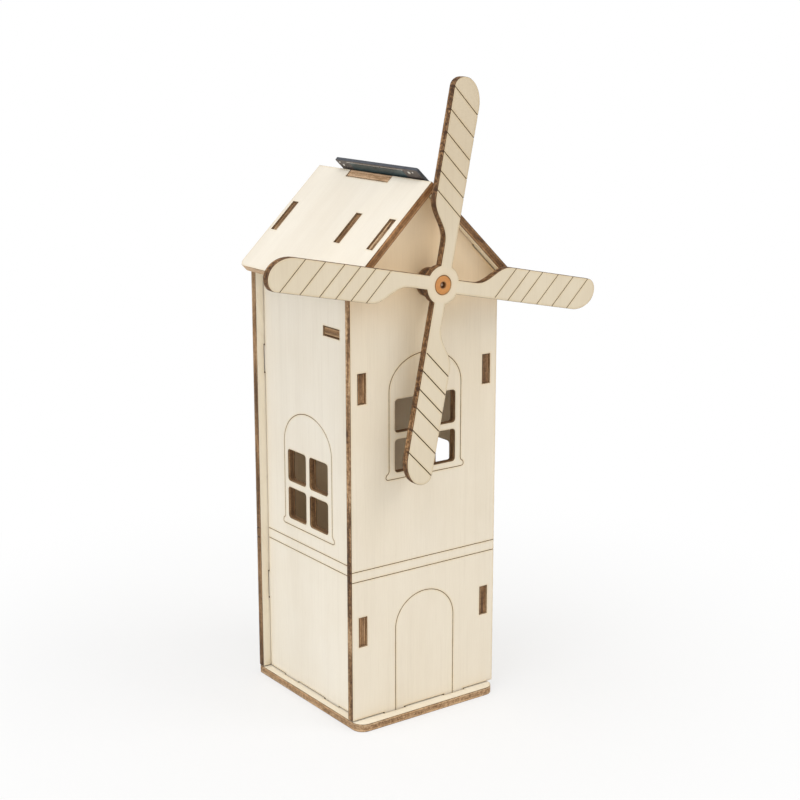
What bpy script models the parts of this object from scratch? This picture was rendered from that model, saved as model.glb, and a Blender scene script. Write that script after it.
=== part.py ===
"""Laser-cut plywood windmill house with a small motor and a solar panel.

A square tower stands on a base board.  Its boards lock with tabs and slots, a
gabled roof closes it, and a four-bladed rotor sits on the motor's shaft in
front of the gable.  The motor is carried by a bulkhead that stands on a shelf
inside the tower, and takes its power from a flat solar panel stuck to the
right-hand roof slope.

Frame: +Z up, the front gable faces -Y, the origin is the centre of the tower's
footprint on the underside of the base board.  Constants are in millimetres.
Depths (y) are measured from the front panel's face, positive to the rear.
"""

import math

import bmesh
import bpy
from mathutils import Matrix, Vector

MM = 0.001

# ------------------------------------------------------- shared dimensions
PLY = 3.0            # plywood thickness
GAP = 0.3            # laser kerf and assembly play between neighbouring boards
RECESS = 0.5         # how far a tab's end grain stays below the outer face
JOINT = PLY + GAP    # a board's thickness with its play
TAB_REACH = JOINT - RECESS

TOWER_W = 66.0       # width of the front and back panels
TOWER_D = 66.5       # outer face of front panel to outer face of back panel
HALF_W = TOWER_W / 2
CENTRE_Y = TOWER_D / 2
WALL_INSET = 3.4     # side wall's outer face, in from the panels' side edges
WALL_OUT = HALF_W - WALL_INSET
WALL_IN = WALL_OUT - PLY
INSIDE_X = WALL_IN - GAP                       # half width of boards between the walls

FOOT_X = ((-19.0, -9.0), (9.0, 19.0))          # panel feet in the base
FOOT_Y = ((14.0, 24.0), (42.5, 52.5))          # wall feet in the base
SIDE_SLOT_Z = ((31.9, 43.3), (123.6, 134.8))   # side wall tabs in the panels
ROOF_SLOT_S = (18.6, 32.6)                     # gable tabs, down the slope

BULKHEAD_Y = 20.75       # bulkhead's front face
BULKHEAD_FOOT = 7.0      # half the width of the slot for its foot
SHELF_Z = 145.45         # shelf's underside
SHELF_DEPTH = 27.3
SHELF_TAB_Y = (11.7, 22.2)

PITCH = math.radians(43.75)
COS, SIN = math.cos(PITCH), math.sin(PITCH)
RIDGE_Z = 200.85         # outer ridge line above the ground

ROTOR_Z = 165.0          # shaft height above the ground
ROTOR_FACE = -10.2       # depth of the rotor's front face
SHAFT_R = 1.0
SHAFT_HOLE_R = SHAFT_R + 0.1   # hole in the pieces that turn with the shaft

SIDES = (("left", -1), ("right", 1))


# ------------------------------------------------------------------- set-up
for old in list(bpy.data.objects):
    bpy.data.objects.remove(old, do_unlink=True)

parts = bpy.data.collections.new("solar_windmill_house")
cutters = bpy.data.collections.new("cutters")
bpy.context.scene.collection.children.link(parts)
bpy.context.scene.collection.children.link(cutters)


def empty(name, location):
    obj = bpy.data.objects.new(name, None)
    obj.empty_display_size = 0.01
    obj.location = location
    parts.objects.link(obj)
    return obj


tower = empty("tower", (0, 0, 0))
rotor_axis = empty("rotor_axis", (0, -CENTRE_Y * MM, ROTOR_Z * MM))


# ---------------------------------------------------------------- materials
def material(name, colour, roughness, metallic=0.0):
    mat = bpy.data.materials.new(name)
    mat.use_nodes = True
    shader = mat.node_tree.nodes["Principled BSDF"]
    shader.inputs["Base Color"].default_value = (*colour, 1.0)
    shader.inputs["Roughness"].default_value = roughness
    shader.inputs["Metallic"].default_value = metallic
    mat.diffuse_color = (*colour, 1.0)
    return mat


def ply(name, shade):
    colour = (0.80 * shade, 0.70 * shade, 0.52 * shade)
    return material(f"ply_{name}", colour, roughness=0.72)


def bronze(name):
    return material(name, (0.55, 0.38, 0.20), roughness=0.4, metallic=0.9)


def copper(name, roughness):
    return material(name, (0.72, 0.42, 0.26), roughness=roughness, metallic=1.0)


# ------------------------------------------------------------------- frames
def place(obj, matrix, parent):
    """Puts obj at a world matrix under its parent empty."""
    obj.parent = parent
    local = Matrix.Translation(-parent.location) @ matrix
    obj.location = local.to_translation()
    obj.rotation_euler = local.to_euler()
    return obj


def frame(x_axis, y_axis, origin):
    """World matrix with the given local X and Y axes, at origin in mm."""
    x_axis, y_axis = Vector(x_axis), Vector(y_axis)
    matrix = Matrix((x_axis, y_axis, x_axis.cross(y_axis))).transposed().to_4x4()
    matrix.translation = Vector(origin) * MM
    return matrix


def front_frame(y_mid, z=0):
    """Local X, Y = world X, Z."""
    return frame((1, 0, 0), (0, 0, 1), (0, y_mid - CENTRE_Y, z))


def side_frame(x_mid):
    """Local X, Y = depth, height."""
    return frame((0, 1, 0), (0, 0, 1), (x_mid, -CENTRE_Y, 0))


def plan_frame(z_mid):
    """Local X, Y = world X, depth."""
    return frame((1, 0, 0), (0, 1, 0), (0, -CENTRE_Y, z_mid))


def slope(down, out, side=1):
    """(x, z) at a distance down from the ridge and out of the outer face of
    the right (+1) or left (-1) roof."""
    return (side * (down * COS + out * SIN), RIDGE_Z - down * SIN + out * COS)


# --------------------------------------------------------- outlines in 2D
def arc(centre, radius, start, end, steps, rise=None):
    """Points from angle start to end; rise is the Y radius of an ellipse."""
    rise = radius if rise is None else rise
    angles = [start + (end - start) * i / steps for i in range(steps + 1)]
    return [(centre[0] + radius * math.cos(angle), centre[1] + rise * math.sin(angle))
            for angle in angles]


def circle(radius, steps=32, centre=(0, 0)):
    return arc(centre, radius, 0, 2 * math.pi, steps)[:-1]


def rect(x0, x1, y0, y1):
    return [(x0, y0), (x1, y0), (x1, y1), (x0, y1)]


def rounded(points, radii, steps):
    """A polygon with its corners rounded to the given radii."""
    out = []
    for i, (point, radius) in enumerate(zip(points, radii)):
        if radius <= 0:
            out.append(point)
            continue
        corner = Vector(point)
        to_last = (Vector(points[i - 1]) - corner).normalized()
        to_next = (Vector(points[(i + 1) % len(points)]) - corner).normalized()
        half = math.acos(max(-1.0, min(1.0, to_last.dot(to_next)))) / 2
        reach = radius / math.tan(half)
        centre = corner + (to_last + to_next).normalized() * (radius / math.sin(half))
        first = corner + to_last * reach - centre
        last = corner + to_next * reach - centre
        start = math.atan2(first.y, first.x)
        turn = math.atan2(first.x * last.y - first.y * last.x, first.dot(last))
        out += arc(centre, radius, start, start + turn, steps)
    return out


def rounded_rect(x0, x1, y0, y1, radius, steps):
    return rounded(rect(x0, x1, y0, y1), [radius] * 4, steps)


def turned(points, angle):
    cos, sin = math.cos(angle), math.sin(angle)
    return [(x * cos - y * sin, x * sin + y * cos) for x, y in points]


def mirrored(side, near, far):
    """The range near-far from the centre plane, on the given side."""
    return sorted((side * near, side * far))


def with_tabs(start, end, tabs, reach):
    """Edge from start up to, but without, end.  Tabs are (from, to) along the
    edge and stand out by reach to the right of the direction of travel."""
    start, end = Vector(start), Vector(end)
    along = (end - start).normalized()
    outward = Vector((along.y, -along.x))
    out = [tuple(start)]
    for tab_start, tab_end in tabs:
        for distance, height in ((tab_start, 0), (tab_start, reach),
                                 (tab_end, reach), (tab_end, 0)):
            out.append(tuple(start + along * distance + outward * height))
    return out


def foot_edge(start, end, height, slots):
    """A board's lower edge, both ends included, with feet for the slots."""
    tabs = [(a + GAP - start, b - GAP - start) for a, b in slots]
    return with_tabs((start, height), (end, height), tabs, TAB_REACH) + [(end, height)]


# ------------------------------------------------------------------- pieces
def flat(name, loops, thickness, matrix, mat, parent=tower, collection=parts):
    """A flat piece: the first loop is its outline, the others are holes."""
    curve = bpy.data.curves.new(name, "CURVE")
    curve.dimensions = "2D"
    curve.fill_mode = "BOTH"
    curve.extrude = thickness / 2 * MM
    for loop in loops:
        spline = curve.splines.new("POLY")
        spline.points.add(len(loop) - 1)
        for point, (x, y) in zip(spline.points, loop):
            point.co = (x * MM, y * MM, 0, 1)
        spline.use_cyclic_u = True
    if mat:
        curve.materials.append(mat)
    obj = bpy.data.objects.new(name, curve)
    collection.objects.link(obj)
    return place(obj, matrix, parent)


def upright(name, loops, y_range, mat, z=0, **options):
    """A flat piece drawn in X, Z about height z, filling a range of depths."""
    y0, y1 = y_range
    return flat(name, loops, y1 - y0, front_frame((y0 + y1) / 2, z), mat, **options)


def on_roof(name, loops, out_range, mat, side=1):
    """A flat piece parallel to a roof slope, drawn in (depth, down)."""
    out0, out1 = out_range
    x, z = slope(0, (out0 + out1) / 2, side)
    matrix = frame((0, side, 0), (-side * COS, 0, SIN), (x, -CENTRE_Y, z))
    local = [[(side * y, -down) for y, down in loop] for loop in loops]
    return flat(name, local, out1 - out0, matrix, mat)


def around(middle, length):
    return middle - length / 2, middle + length / 2


def mesh_piece(name, bm, matrix, mat, parent=tower, collection=parts):
    mesh = bpy.data.meshes.new(name)
    bm.to_mesh(mesh)
    bm.free()
    if mat:
        mesh.materials.append(mat)
    obj = bpy.data.objects.new(name, mesh)
    collection.objects.link(obj)
    return place(obj, matrix, parent)


def rod(name, radius, y0, y1, mat, **options):
    """A cylinder on the shaft's line between two depths."""
    bm = bmesh.new()
    bmesh.ops.create_cone(bm, cap_ends=True, segments=32, radius1=radius * MM,
                          radius2=radius * MM, depth=(y1 - y0) * MM)
    obj = mesh_piece(name, bm, front_frame((y0 + y1) / 2, ROTOR_Z), mat, **options)
    obj.data.shade_smooth()
    obj.data.set_sharp_from_angle(angle=math.radians(35))
    return obj


def box(name, x, y, z, mat):
    """A block between x, y, z ranges."""
    bm = bmesh.new()
    bmesh.ops.create_cube(bm, size=1.0)
    size = [(high - low) * MM for low, high in (x, y, z)]
    bmesh.ops.scale(bm, verts=bm.verts, vec=size)
    centre = Vector((sum(x) / 2, sum(y) / 2 - CENTRE_Y, sum(z) / 2)) * MM
    return mesh_piece(name, bm, Matrix.Translation(centre), mat)


def solid(obj):
    """The same piece as a welded mesh, ready for Boolean modifiers."""
    bpy.context.view_layer.update()
    depsgraph = bpy.context.evaluated_depsgraph_get()
    mesh = bpy.data.meshes.new_from_object(obj.evaluated_get(depsgraph))
    bm = bmesh.new()
    bm.from_mesh(mesh)
    bmesh.ops.remove_doubles(bm, verts=bm.verts, dist=1e-6)
    bmesh.ops.recalc_face_normals(bm, faces=bm.faces)
    bm.to_mesh(mesh)
    bm.free()
    name, world, parent = obj.name, obj.matrix_world.copy(), obj.parent
    home = obj.users_collection[0]
    bpy.data.objects.remove(obj, do_unlink=True)
    mesh.name = name
    welded = bpy.data.objects.new(name, mesh)
    home.objects.link(welded)
    return place(welded, world, parent)


def cut(obj, tool):
    tool.hide_render = True
    tool.display_type = "WIRE"
    modifier = obj.modifiers.new("difference_" + tool.name, "BOOLEAN")
    modifier.operation = "DIFFERENCE"
    modifier.object = tool
    modifier.solver = "EXACT"


# ------------------------------------------------------------- tower boards
STEP = 4.5               # base board's step in front of the door
STEP_R = 4.4             # rounding of the step's two corners
BASE_REAR_R = 0.8        # rounding of its rear corners
BASE_RIGHT = 31.0        # base board's right edge, a little short of the panels
FOOT_Z = PLY + GAP       # lower edge of the upright boards, between their feet

WINDOW_HALF = 13.65      # half the width over both panes
WINDOW_H = 27.3          # height over both rows of panes
MUNTIN = 2.6
PANE_R = 1.3
FRONT_WINDOW_Z = 96.0    # lowest edge of the lower panes
SIDE_WINDOW_Z = 69.6
SIDE_WINDOW_Y = 34.0     # window's centre
SHAFT_OPENING_R = 3.5    # hole in the front panel


def window(centre, bottom):
    """The four panes of a window."""
    width = WINDOW_HALF - MUNTIN / 2
    height = (WINDOW_H - MUNTIN) / 2
    return [rounded_rect(x, x + width, y, y + height, PANE_R, steps=4)
            for x in (centre - WINDOW_HALF, centre + MUNTIN / 2)
            for y in (bottom, bottom + height + MUNTIN)]


def wall_slots(spans):
    """Slots in line with both side walls, for each span of the other axis."""
    return [rect(*mirrored(side, WALL_IN - GAP, WALL_OUT + GAP), *span)
            for span in spans for side in (-1, 1)]


def gable(half, foot):
    """Outline of a gabled board, anticlockwise from its lower left corner;
    foot is the list of points of its lower edge."""
    # the sloping edges lie one joint inside the roof's outer face
    apex_s = JOINT * SIN / COS
    side_s = (half + JOINT * SIN) / COS
    tab0, tab1 = ROOF_SLOT_S[0] + GAP, ROOF_SLOT_S[1] - GAP
    apex = slope(apex_s, -JOINT)
    right_low = slope(side_s, -JOINT)
    left_low = slope(side_s, -JOINT, -1)
    right = with_tabs(right_low, apex, [(side_s - tab1, side_s - tab0)], TAB_REACH)
    left = with_tabs(apex, left_low, [(tab0 - apex_s, tab1 - apex_s)], TAB_REACH)
    return foot + right + left + [left_low]


def base_plate():
    # the back panel is flush with the base board, so its feet sit in open notches
    notches = with_tabs((HALF_W, TOWER_D), (-HALF_W, TOWER_D),
                        [(HALF_W + a, HALF_W + b) for a, b in FOOT_X], -JOINT)[1:]
    corners = [(-HALF_W, -STEP), (BASE_RIGHT, -STEP), (BASE_RIGHT, TOWER_D),
               *notches, (-HALF_W, TOWER_D)]
    radii = [STEP_R, STEP_R, BASE_REAR_R] + [0] * len(notches) + [BASE_REAR_R]
    front_slots = [rect(a, b, -GAP, JOINT) for a, b in FOOT_X]
    flat("base_plate", [rounded(corners, radii, steps=6)] + front_slots + wall_slots(FOOT_Y),
         PLY, plan_frame(PLY / 2), ply("base", 0.98))


def gable_panels():
    outline = gable(HALF_W, foot_edge(-HALF_W, HALF_W, FOOT_Z, FOOT_X))
    loops = [outline] + wall_slots(SIDE_SLOT_Z) + window(0, FRONT_WINDOW_Z)
    opening = circle(SHAFT_OPENING_R, centre=(0, ROTOR_Z))
    upright("front_panel", loops + [opening], (0, PLY), ply("front", 1.0))
    upright("back_panel", loops, (TOWER_D - PLY, TOWER_D), ply("back", 0.97))


def side_walls():
    """Between the front and back panels, with tabs through both."""
    top = RIDGE_Z - JOINT / COS - WALL_OUT * SIN / COS
    front, rear = JOINT, TOWER_D - JOINT
    rear_tabs = [(a + GAP - FOOT_Z, b - GAP - FOOT_Z) for a, b in SIDE_SLOT_Z]
    front_tabs = [(top - b + GAP, top - a - GAP) for a, b in reversed(SIDE_SLOT_Z)]
    outline = foot_edge(front, rear, FOOT_Z, FOOT_Y)
    outline += with_tabs((rear, FOOT_Z), (rear, top), rear_tabs, TAB_REACH)
    outline.append((rear, top))
    outline += with_tabs((front, top), (front, FOOT_Z), front_tabs, TAB_REACH)
    shelf_slot = rect(*SHELF_TAB_Y, SHELF_Z - GAP, SHELF_Z + JOINT)
    loops = [outline, shelf_slot] + window(SIDE_WINDOW_Y, SIDE_WINDOW_Z)
    x_mid = (WALL_OUT + WALL_IN) / 2
    flat("left_wall", loops, PLY, side_frame(-x_mid), ply("left", 1.02))
    flat("right_wall", loops, PLY, side_frame(x_mid), ply("right", 0.96))


def motor_shelf():
    """A tab through each side wall and a slot for the bulkhead's foot."""
    tab_x = WALL_OUT - RECESS
    tab_y0, tab_y1 = SHELF_TAB_Y[0] + GAP, SHELF_TAB_Y[1] - GAP
    front, rear = JOINT, JOINT + SHELF_DEPTH
    outline = [(-INSIDE_X, front), (INSIDE_X, front),
               (INSIDE_X, tab_y0), (tab_x, tab_y0), (tab_x, tab_y1), (INSIDE_X, tab_y1),
               (INSIDE_X, rear), (-INSIDE_X, rear),
               (-INSIDE_X, tab_y1), (-tab_x, tab_y1), (-tab_x, tab_y0), (-INSIDE_X, tab_y0)]
    slot = rect(-BULKHEAD_FOOT, BULKHEAD_FOOT, BULKHEAD_Y - GAP, BULKHEAD_Y + JOINT)
    flat("motor_shelf", [outline, slot], PLY, plan_frame(SHELF_Z + PLY / 2),
         ply("shelf", 0.93))


MOTOR_W = 20.0           # across the can's round sides
MOTOR_H = 15.0           # across its flats


def motor_outline(grow=0.0):
    """The can's section: a circle with flats at the top and bottom."""
    radius, half_h = MOTOR_W / 2 + grow, MOTOR_H / 2 + grow
    spread = math.asin(half_h / radius)
    centre = (0, ROTOR_Z)
    return (arc(centre, radius, -spread, spread, 14)
            + arc(centre, radius, math.pi - spread, math.pi + spread, 14))


def motor_bulkhead():
    """Stands on the shelf, holds the motor, tabs through both roofs."""
    foot = foot_edge(-INSIDE_X, INSIDE_X, SHELF_Z + JOINT,
                     [(-BULKHEAD_FOOT, BULKHEAD_FOOT)])
    upright("motor_bulkhead", [gable(INSIDE_X, foot), motor_outline(GAP)],
            (BULKHEAD_Y, BULKHEAD_Y + PLY), ply("bulkhead", 0.93))


# -------------------------------------------------------------- roof boards
EAVE_X = 36.9            # half the width over the eaves
OVERHANG_FRONT = 3.3     # roof in front of the front panel
OVERHANG_REAR = 2.4      # roof behind the back panel
EAVE_R = 3.0             # rounding of the eaves' corners
FINGER_Y = (20.4, 47.3)  # the left roof's notch for the right roof's ridge finger
WIRE_HOLE = (31.0, 14.0)   # centre: depth, down
WIRE_HOLE_R = 2.4


def roof_loops(ridge, finger, finger_y0, finger_y1):
    """Outline and slots in (depth, down).  The ridge edge lies at ridge, and
    at finger between the two finger depths."""
    front, rear, eave = -OVERHANG_FRONT, TOWER_D + OVERHANG_REAR, EAVE_X / COS
    points = [(front, ridge), (finger_y0, ridge), (finger_y0, finger),
              (finger_y1, finger), (finger_y1, ridge), (rear, ridge),
              (rear, eave), (front, eave)]
    slots = [rect(y - GAP, y + JOINT, *ROOF_SLOT_S)
             for y in (0.0, BULKHEAD_Y, TOWER_D - PLY)]
    return [rounded(points, [0] * 6 + [EAVE_R] * 2, steps=6)] + slots


def roofs():
    y0, y1 = FINGER_Y
    on_roof("left_roof", roof_loops(0.0, JOINT, y0, y1), (-PLY, 0),
            ply("roof_left", 1.05), side=-1)
    right = roof_loops(JOINT, 0.0, y0 + GAP, y1 - GAP)
    on_roof("right_roof", right + [circle(WIRE_HOLE_R, 24, WIRE_HOLE)], (-PLY, 0),
            ply("roof_right", 1.0))


# -------------------------------------------------------------------- rotor
ROTOR_R = 72.4           # hub centre to blade tip
ROTOR_TILT = math.radians(11.7)   # rest angle, clockwise seen from the front
HUB_R = 7.1
SPACER_R = 5.3
BUSH_R = 3.4
BUSH_HOLE_R = BUSH_R + 0.15
LAYER_GAP = 0.1          # between the blades and the spacers
ARM_RIGHT = 2.64         # straight edge of a blade, right of its radius
NECK_LEFT = 2.35
BLADE_LEFT = 9.55        # broad edge of a blade, left of its radius
SHOULDER = (14.0, 30.8)  # where the neck widens into the blade
CROWN_X = -5.0           # sideways place of the tip's highest point
TIP_RISE_LEFT = 3.9      # height of the small rounding on the broad side
TIP_RISE_RIGHT = 9.8     # height of the large rounding on the straight side


def ease(t):
    """Smooth step from 0 to 1, level at both ends."""
    return t * t * t * (t * (6 * t - 15) + 10)


def arm_points():
    """One upward blade from the hub's left side to its right side, and the
    hub's arc to the next blade."""
    points = [(-NECK_LEFT, math.sqrt(HUB_R ** 2 - NECK_LEFT ** 2)),
              (-NECK_LEFT, SHOULDER[0])]
    for i in range(1, 13):
        points.append((-NECK_LEFT - (BLADE_LEFT - NECK_LEFT) * ease(i / 12),
                       SHOULDER[0] + (SHOULDER[1] - SHOULDER[0]) * i / 12))
    points += arc((CROWN_X, ROTOR_R - TIP_RISE_LEFT), CROWN_X + BLADE_LEFT,
                  math.pi, math.pi / 2, 8, rise=TIP_RISE_LEFT)
    points += arc((CROWN_X, ROTOR_R - TIP_RISE_RIGHT), ARM_RIGHT - CROWN_X,
                  math.pi / 2, 0, 12, rise=TIP_RISE_RIGHT)[1:]
    points.append((ARM_RIGHT, math.sqrt(HUB_R ** 2 - ARM_RIGHT ** 2)))
    hub_start = math.atan2(points[-1][1], points[-1][0])
    hub_end = math.atan2(points[0][1], points[0][0]) - math.pi / 2
    return points + arc((0, 0), HUB_R, hub_start, hub_end, 5)[1:-1]


def rotor():
    arm = arm_points()
    outline = []
    for k in range(4):
        outline += turned(arm, -ROTOR_TILT - k * math.pi / 2)
    outline.reverse()
    bush_hole = circle(BUSH_HOLE_R, 40)
    upright("rotor_blades", [outline, bush_hole], (ROTOR_FACE, ROTOR_FACE + PLY),
            ply("rotor", 1.0), z=ROTOR_Z, parent=rotor_axis)
    for i, tag in enumerate(("front", "rear"), start=1):
        y0 = ROTOR_FACE + i * (PLY + LAYER_GAP)
        upright(f"rotor_spacer_{tag}", [circle(SPACER_R, 48), bush_hole], (y0, y0 + PLY),
                ply(f"spacer_{tag}", 0.95), z=ROTOR_Z, parent=rotor_axis)
    bush_length = 3 * PLY + 2 * LAYER_GAP
    upright("hub_bush", [circle(BUSH_R, 40), circle(SHAFT_HOLE_R)],
            (ROTOR_FACE, ROTOR_FACE + bush_length),
            material("bush_amber", (0.62, 0.30, 0.13), roughness=0.5),
            z=ROTOR_Z, parent=rotor_axis)


# -------------------------------------------------------------------- motor
CAN_T = 0.8
CAN_Y = (3.3, 24.5)
CUT_OVER = 1.0           # how far a cutter runs past the face it opens
CAP_Y = CAN_Y[1] + 0.15  # end cap's front face
CAP_L = 4.0

BEARING_R = 2.95
BEARING_HOLE_R = 3.1     # in the can's front and in the end cap
SHAFT_BORE = 1.07        # running clearance in the two bearings
FRONT_BEARING_L = 3.6
FRONT_BEARING_PROUD = 1.4   # in front of the can
REAR_BEARING_PROUD = 0.6    # behind the end cap

TERMINAL_X = 6.5         # terminal's centre, out from the shaft
TERMINAL_HALF = (1.1, 0.2)    # half width, half thickness
TERMINAL_SLOT_HALF = (1.5, 0.45)
TERMINAL_REAR = 7.0      # rear end, from the end cap's front face
BRUSH_X = (2.75, 2.95)
BRUSH_HALF_H = 0.9

ARMATURE_Y = 13.0        # middle of the core, coils and magnets
MAGNET_R = (6.2, 8.95)
MAGNET_SPREAD = math.radians(38)   # half the angle of a magnet
MAGNET_L = 12.0
CORE_L = 8.0
CORE_HUB_R = 2.4
POLE_NECK_W = 1.8
SHOE_R = 5.8
SHOE_T = 0.9
SHOE_SPREAD = math.radians(50)     # half the angle of a pole shoe
POLE_ANGLES = [math.pi / 2 + k * 2 * math.pi / 3 for k in range(3)]
COIL_OUTER = (1.95, 5.6)           # half sizes across the pole and along Y
COIL_INNER = (1.1, 4.3)
COIL_CORNER_R = 0.9
COIL_T = 1.5
COIL_R = 3.72                      # coil's middle, out from the shaft
COMMUTATOR_R = 2.4
COMMUTATOR_Y = 22.1                # its middle
COMMUTATOR_L = 3.6


def motor_can():
    steel = material("motor_can_steel", (0.62, 0.62, 0.60), roughness=0.35, metallic=0.9)
    can = solid(upright("motor_can", [motor_outline()], CAN_Y, steel))
    bore = solid(upright("can_bore", [motor_outline(-CAN_T)],
                         (CAN_Y[0] + CAN_T, CAN_Y[1] + CUT_OVER), None,
                         collection=cutters))
    nose = rod("can_nose_hole", BEARING_HOLE_R, CAN_Y[0] - CUT_OVER, CAN_Y[0] + 2, None,
               collection=cutters)
    cut(can, bore)
    cut(can, nose)


def bearings():
    loops = [circle(BEARING_R), circle(SHAFT_BORE)]
    front = CAN_Y[0] - FRONT_BEARING_PROUD
    upright("front_bearing", loops, (front, front + FRONT_BEARING_L),
            bronze("bearing_bronze"), z=ROTOR_Z)
    rear = CAP_Y + REAR_BEARING_PROUD
    upright("rear_bearing", loops, (rear, rear + CAP_L),
            bronze("rear_bearing_bronze"), z=ROTOR_Z)


def end_cap():
    half_w, half_h = TERMINAL_SLOT_HALF
    slots = [rect(*mirrored(side, TERMINAL_X - half_w, TERMINAL_X + half_w),
                  ROTOR_Z - half_h, ROTOR_Z + half_h) for side in (-1, 1)]
    bearing_hole = circle(BEARING_HOLE_R, centre=(0, ROTOR_Z))
    upright("motor_end_cap", [motor_outline(), bearing_hole] + slots,
            (CAP_Y, CAP_Y + CAP_L),
            material("end_cap_nylon", (0.85, 0.85, 0.82), roughness=0.45))


def terminals_and_brushes():
    half_w, half_h = TERMINAL_HALF
    for tag, side in SIDES:
        box(f"terminal_{tag}", mirrored(side, TERMINAL_X - half_w, TERMINAL_X + half_w),
            (CAP_Y - 0.6, CAP_Y + TERMINAL_REAR), (ROTOR_Z - half_h, ROTOR_Z + half_h),
            material(f"terminal_{tag}_brass", (0.72, 0.55, 0.25),
                     roughness=0.35, metallic=1.0))
        box(f"brush_{tag}", mirrored(side, *BRUSH_X), (CAP_Y - 4.4, CAP_Y - 0.3),
            (ROTOR_Z - BRUSH_HALF_H, ROTOR_Z + BRUSH_HALF_H),
            copper(f"brush_{tag}_copper", roughness=0.35))


def magnets():
    """Two magnets inside the can's round sides."""
    inner, outer = MAGNET_R
    centre = (0, ROTOR_Z)
    for tag, middle in (("left", math.pi), ("right", 0.0)):
        start, end = middle - MAGNET_SPREAD, middle + MAGNET_SPREAD
        outline = arc(centre, outer, start, end, 12) + arc(centre, inner, end, start, 12)
        upright(f"magnet_{tag}", [outline], around(ARMATURE_Y, MAGNET_L),
                material(f"magnet_{tag}_ferrite", (0.08, 0.08, 0.085),
                         roughness=0.6, metallic=0.2))


def motor_shaft():
    rod("motor_shaft", SHAFT_R, ROTOR_FACE + 0.45, CAP_Y + CAP_L + 0.4,
        material("shaft_steel", (0.70, 0.70, 0.70), roughness=0.22, metallic=1.0),
        parent=rotor_axis)


def armature_core():
    """Three poles, each drawn pointing along X and turned into place."""
    shoe_in = SHOE_R - SHOE_T
    neck = POLE_NECK_W / 2
    neck_foot = math.sqrt(CORE_HUB_R ** 2 - neck ** 2)
    neck_angle = math.asin(neck / shoe_in)
    centre = (0, 0)
    pole = [(neck_foot, -neck),
            *arc(centre, shoe_in, -neck_angle, -SHOE_SPREAD, 4),
            *arc(centre, SHOE_R, -SHOE_SPREAD, SHOE_SPREAD, 12),
            *arc(centre, shoe_in, SHOE_SPREAD, neck_angle, 4),
            (neck_foot, neck)]
    outline = []
    for angle in POLE_ANGLES:
        outline += turned(pole, angle)
    upright("armature_core", [outline, circle(SHAFT_HOLE_R, 24)],
            around(ARMATURE_Y, CORE_L),
            material("core_steel", (0.35, 0.35, 0.36), roughness=0.5, metallic=0.8),
            z=ROTOR_Z, parent=rotor_axis)


def coils():
    """Flat rings round the poles' necks: local X across, local Y depth."""
    half_x, half_y = COIL_OUTER
    hole_x, hole_y = COIL_INNER
    loops = [rounded_rect(-half_x, half_x, -half_y, half_y, COIL_CORNER_R, steps=3),
             rect(-hole_x, hole_x, -hole_y, hole_y)]
    for number, angle in enumerate(POLE_ANGLES, start=1):
        cos, sin = math.cos(angle), math.sin(angle)
        centre = (cos * COIL_R, ARMATURE_Y - CENTRE_Y, ROTOR_Z + sin * COIL_R)
        flat(f"coil_{number}", loops, COIL_T, frame((-sin, 0, cos), (0, 1, 0), centre),
             material(f"coil_{number}_copper", (0.55, 0.20, 0.08),
                      roughness=0.4, metallic=0.7), rotor_axis)


def commutator():
    upright("commutator", [circle(COMMUTATOR_R, 24), circle(SHAFT_HOLE_R, 24)],
            around(COMMUTATOR_Y, COMMUTATOR_L),
            copper("commutator_copper", roughness=0.3), z=ROTOR_Z, parent=rotor_axis)


# -------------------------------------------------------------- solar panel
PANEL_L = 51.8           # along the ridge
PANEL_W = 38.0           # down the slope
PANEL_UP = 4.3           # how far it stands out past the ridge
PANEL_T = 1.2
PANEL_Y0 = 2.6           # its front end
PANEL_Y1 = PANEL_Y0 + PANEL_L
PANEL_S0 = -PANEL_UP     # its upper edge, down the slope
PANEL_S1 = PANEL_S0 + PANEL_W
WIRE_S = (WIRE_HOLE[1] - 1.1, WIRE_HOLE[1] + 1.1)   # the two wires, down the slope

TAPE_SPACE = 0.7         # between roof and panel, for double-sided foam tape
TAPE_L = 10.0
TAPE_END = 2.5           # tape's distance from the panel's end
FILM_GAP = 0.05          # between stuck layers

CELLS = 4
CELL_END = 2.0           # panel's end to the first cell's pitch
CELL_PITCH = (PANEL_L - 2 * CELL_END) / CELLS
CELL_SPACE = 0.5         # between neighbouring cells
CELL_EDGE = 2.2          # panel's long edges to the cells
CELL_T = 0.15
COVER_EDGE = 1.4
COVER_T = 0.3


def panel_backing():
    board = rounded_rect(PANEL_Y0, PANEL_Y1, PANEL_S0, PANEL_S1, 0.8, steps=3)
    holes = [circle(0.45, 12, (WIRE_HOLE[0], down)) for down in WIRE_S]
    on_roof("solar_backing", [board] + holes, (TAPE_SPACE, TAPE_SPACE + PANEL_T),
            material("solar_board", (0.03, 0.045, 0.05), roughness=0.4))


def cells_and_cover():
    cell_base = TAPE_SPACE + PANEL_T + FILM_GAP
    for i in range(CELLS):
        y = PANEL_Y0 + CELL_END + i * CELL_PITCH + CELL_SPACE / 2
        outline = rect(y, y + CELL_PITCH - CELL_SPACE,
                       PANEL_S0 + CELL_EDGE, PANEL_S1 - CELL_EDGE)
        on_roof(f"solar_cell_{i + 1}", [outline], (cell_base, cell_base + CELL_T),
                material(f"solar_cell_{i + 1}_blue", (0.02, 0.04, 0.12), roughness=0.25))
    cover_base = cell_base + CELL_T + FILM_GAP
    cover = rounded_rect(PANEL_Y0 + COVER_EDGE, PANEL_Y1 - COVER_EDGE,
                         PANEL_S0 + COVER_EDGE, PANEL_S1 - COVER_EDGE, 1.2, steps=4)
    on_roof("solar_cover", [cover], (cover_base, cover_base + COVER_T),
            material("solar_cover_clear", (0.55, 0.60, 0.62), roughness=0.12))


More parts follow.
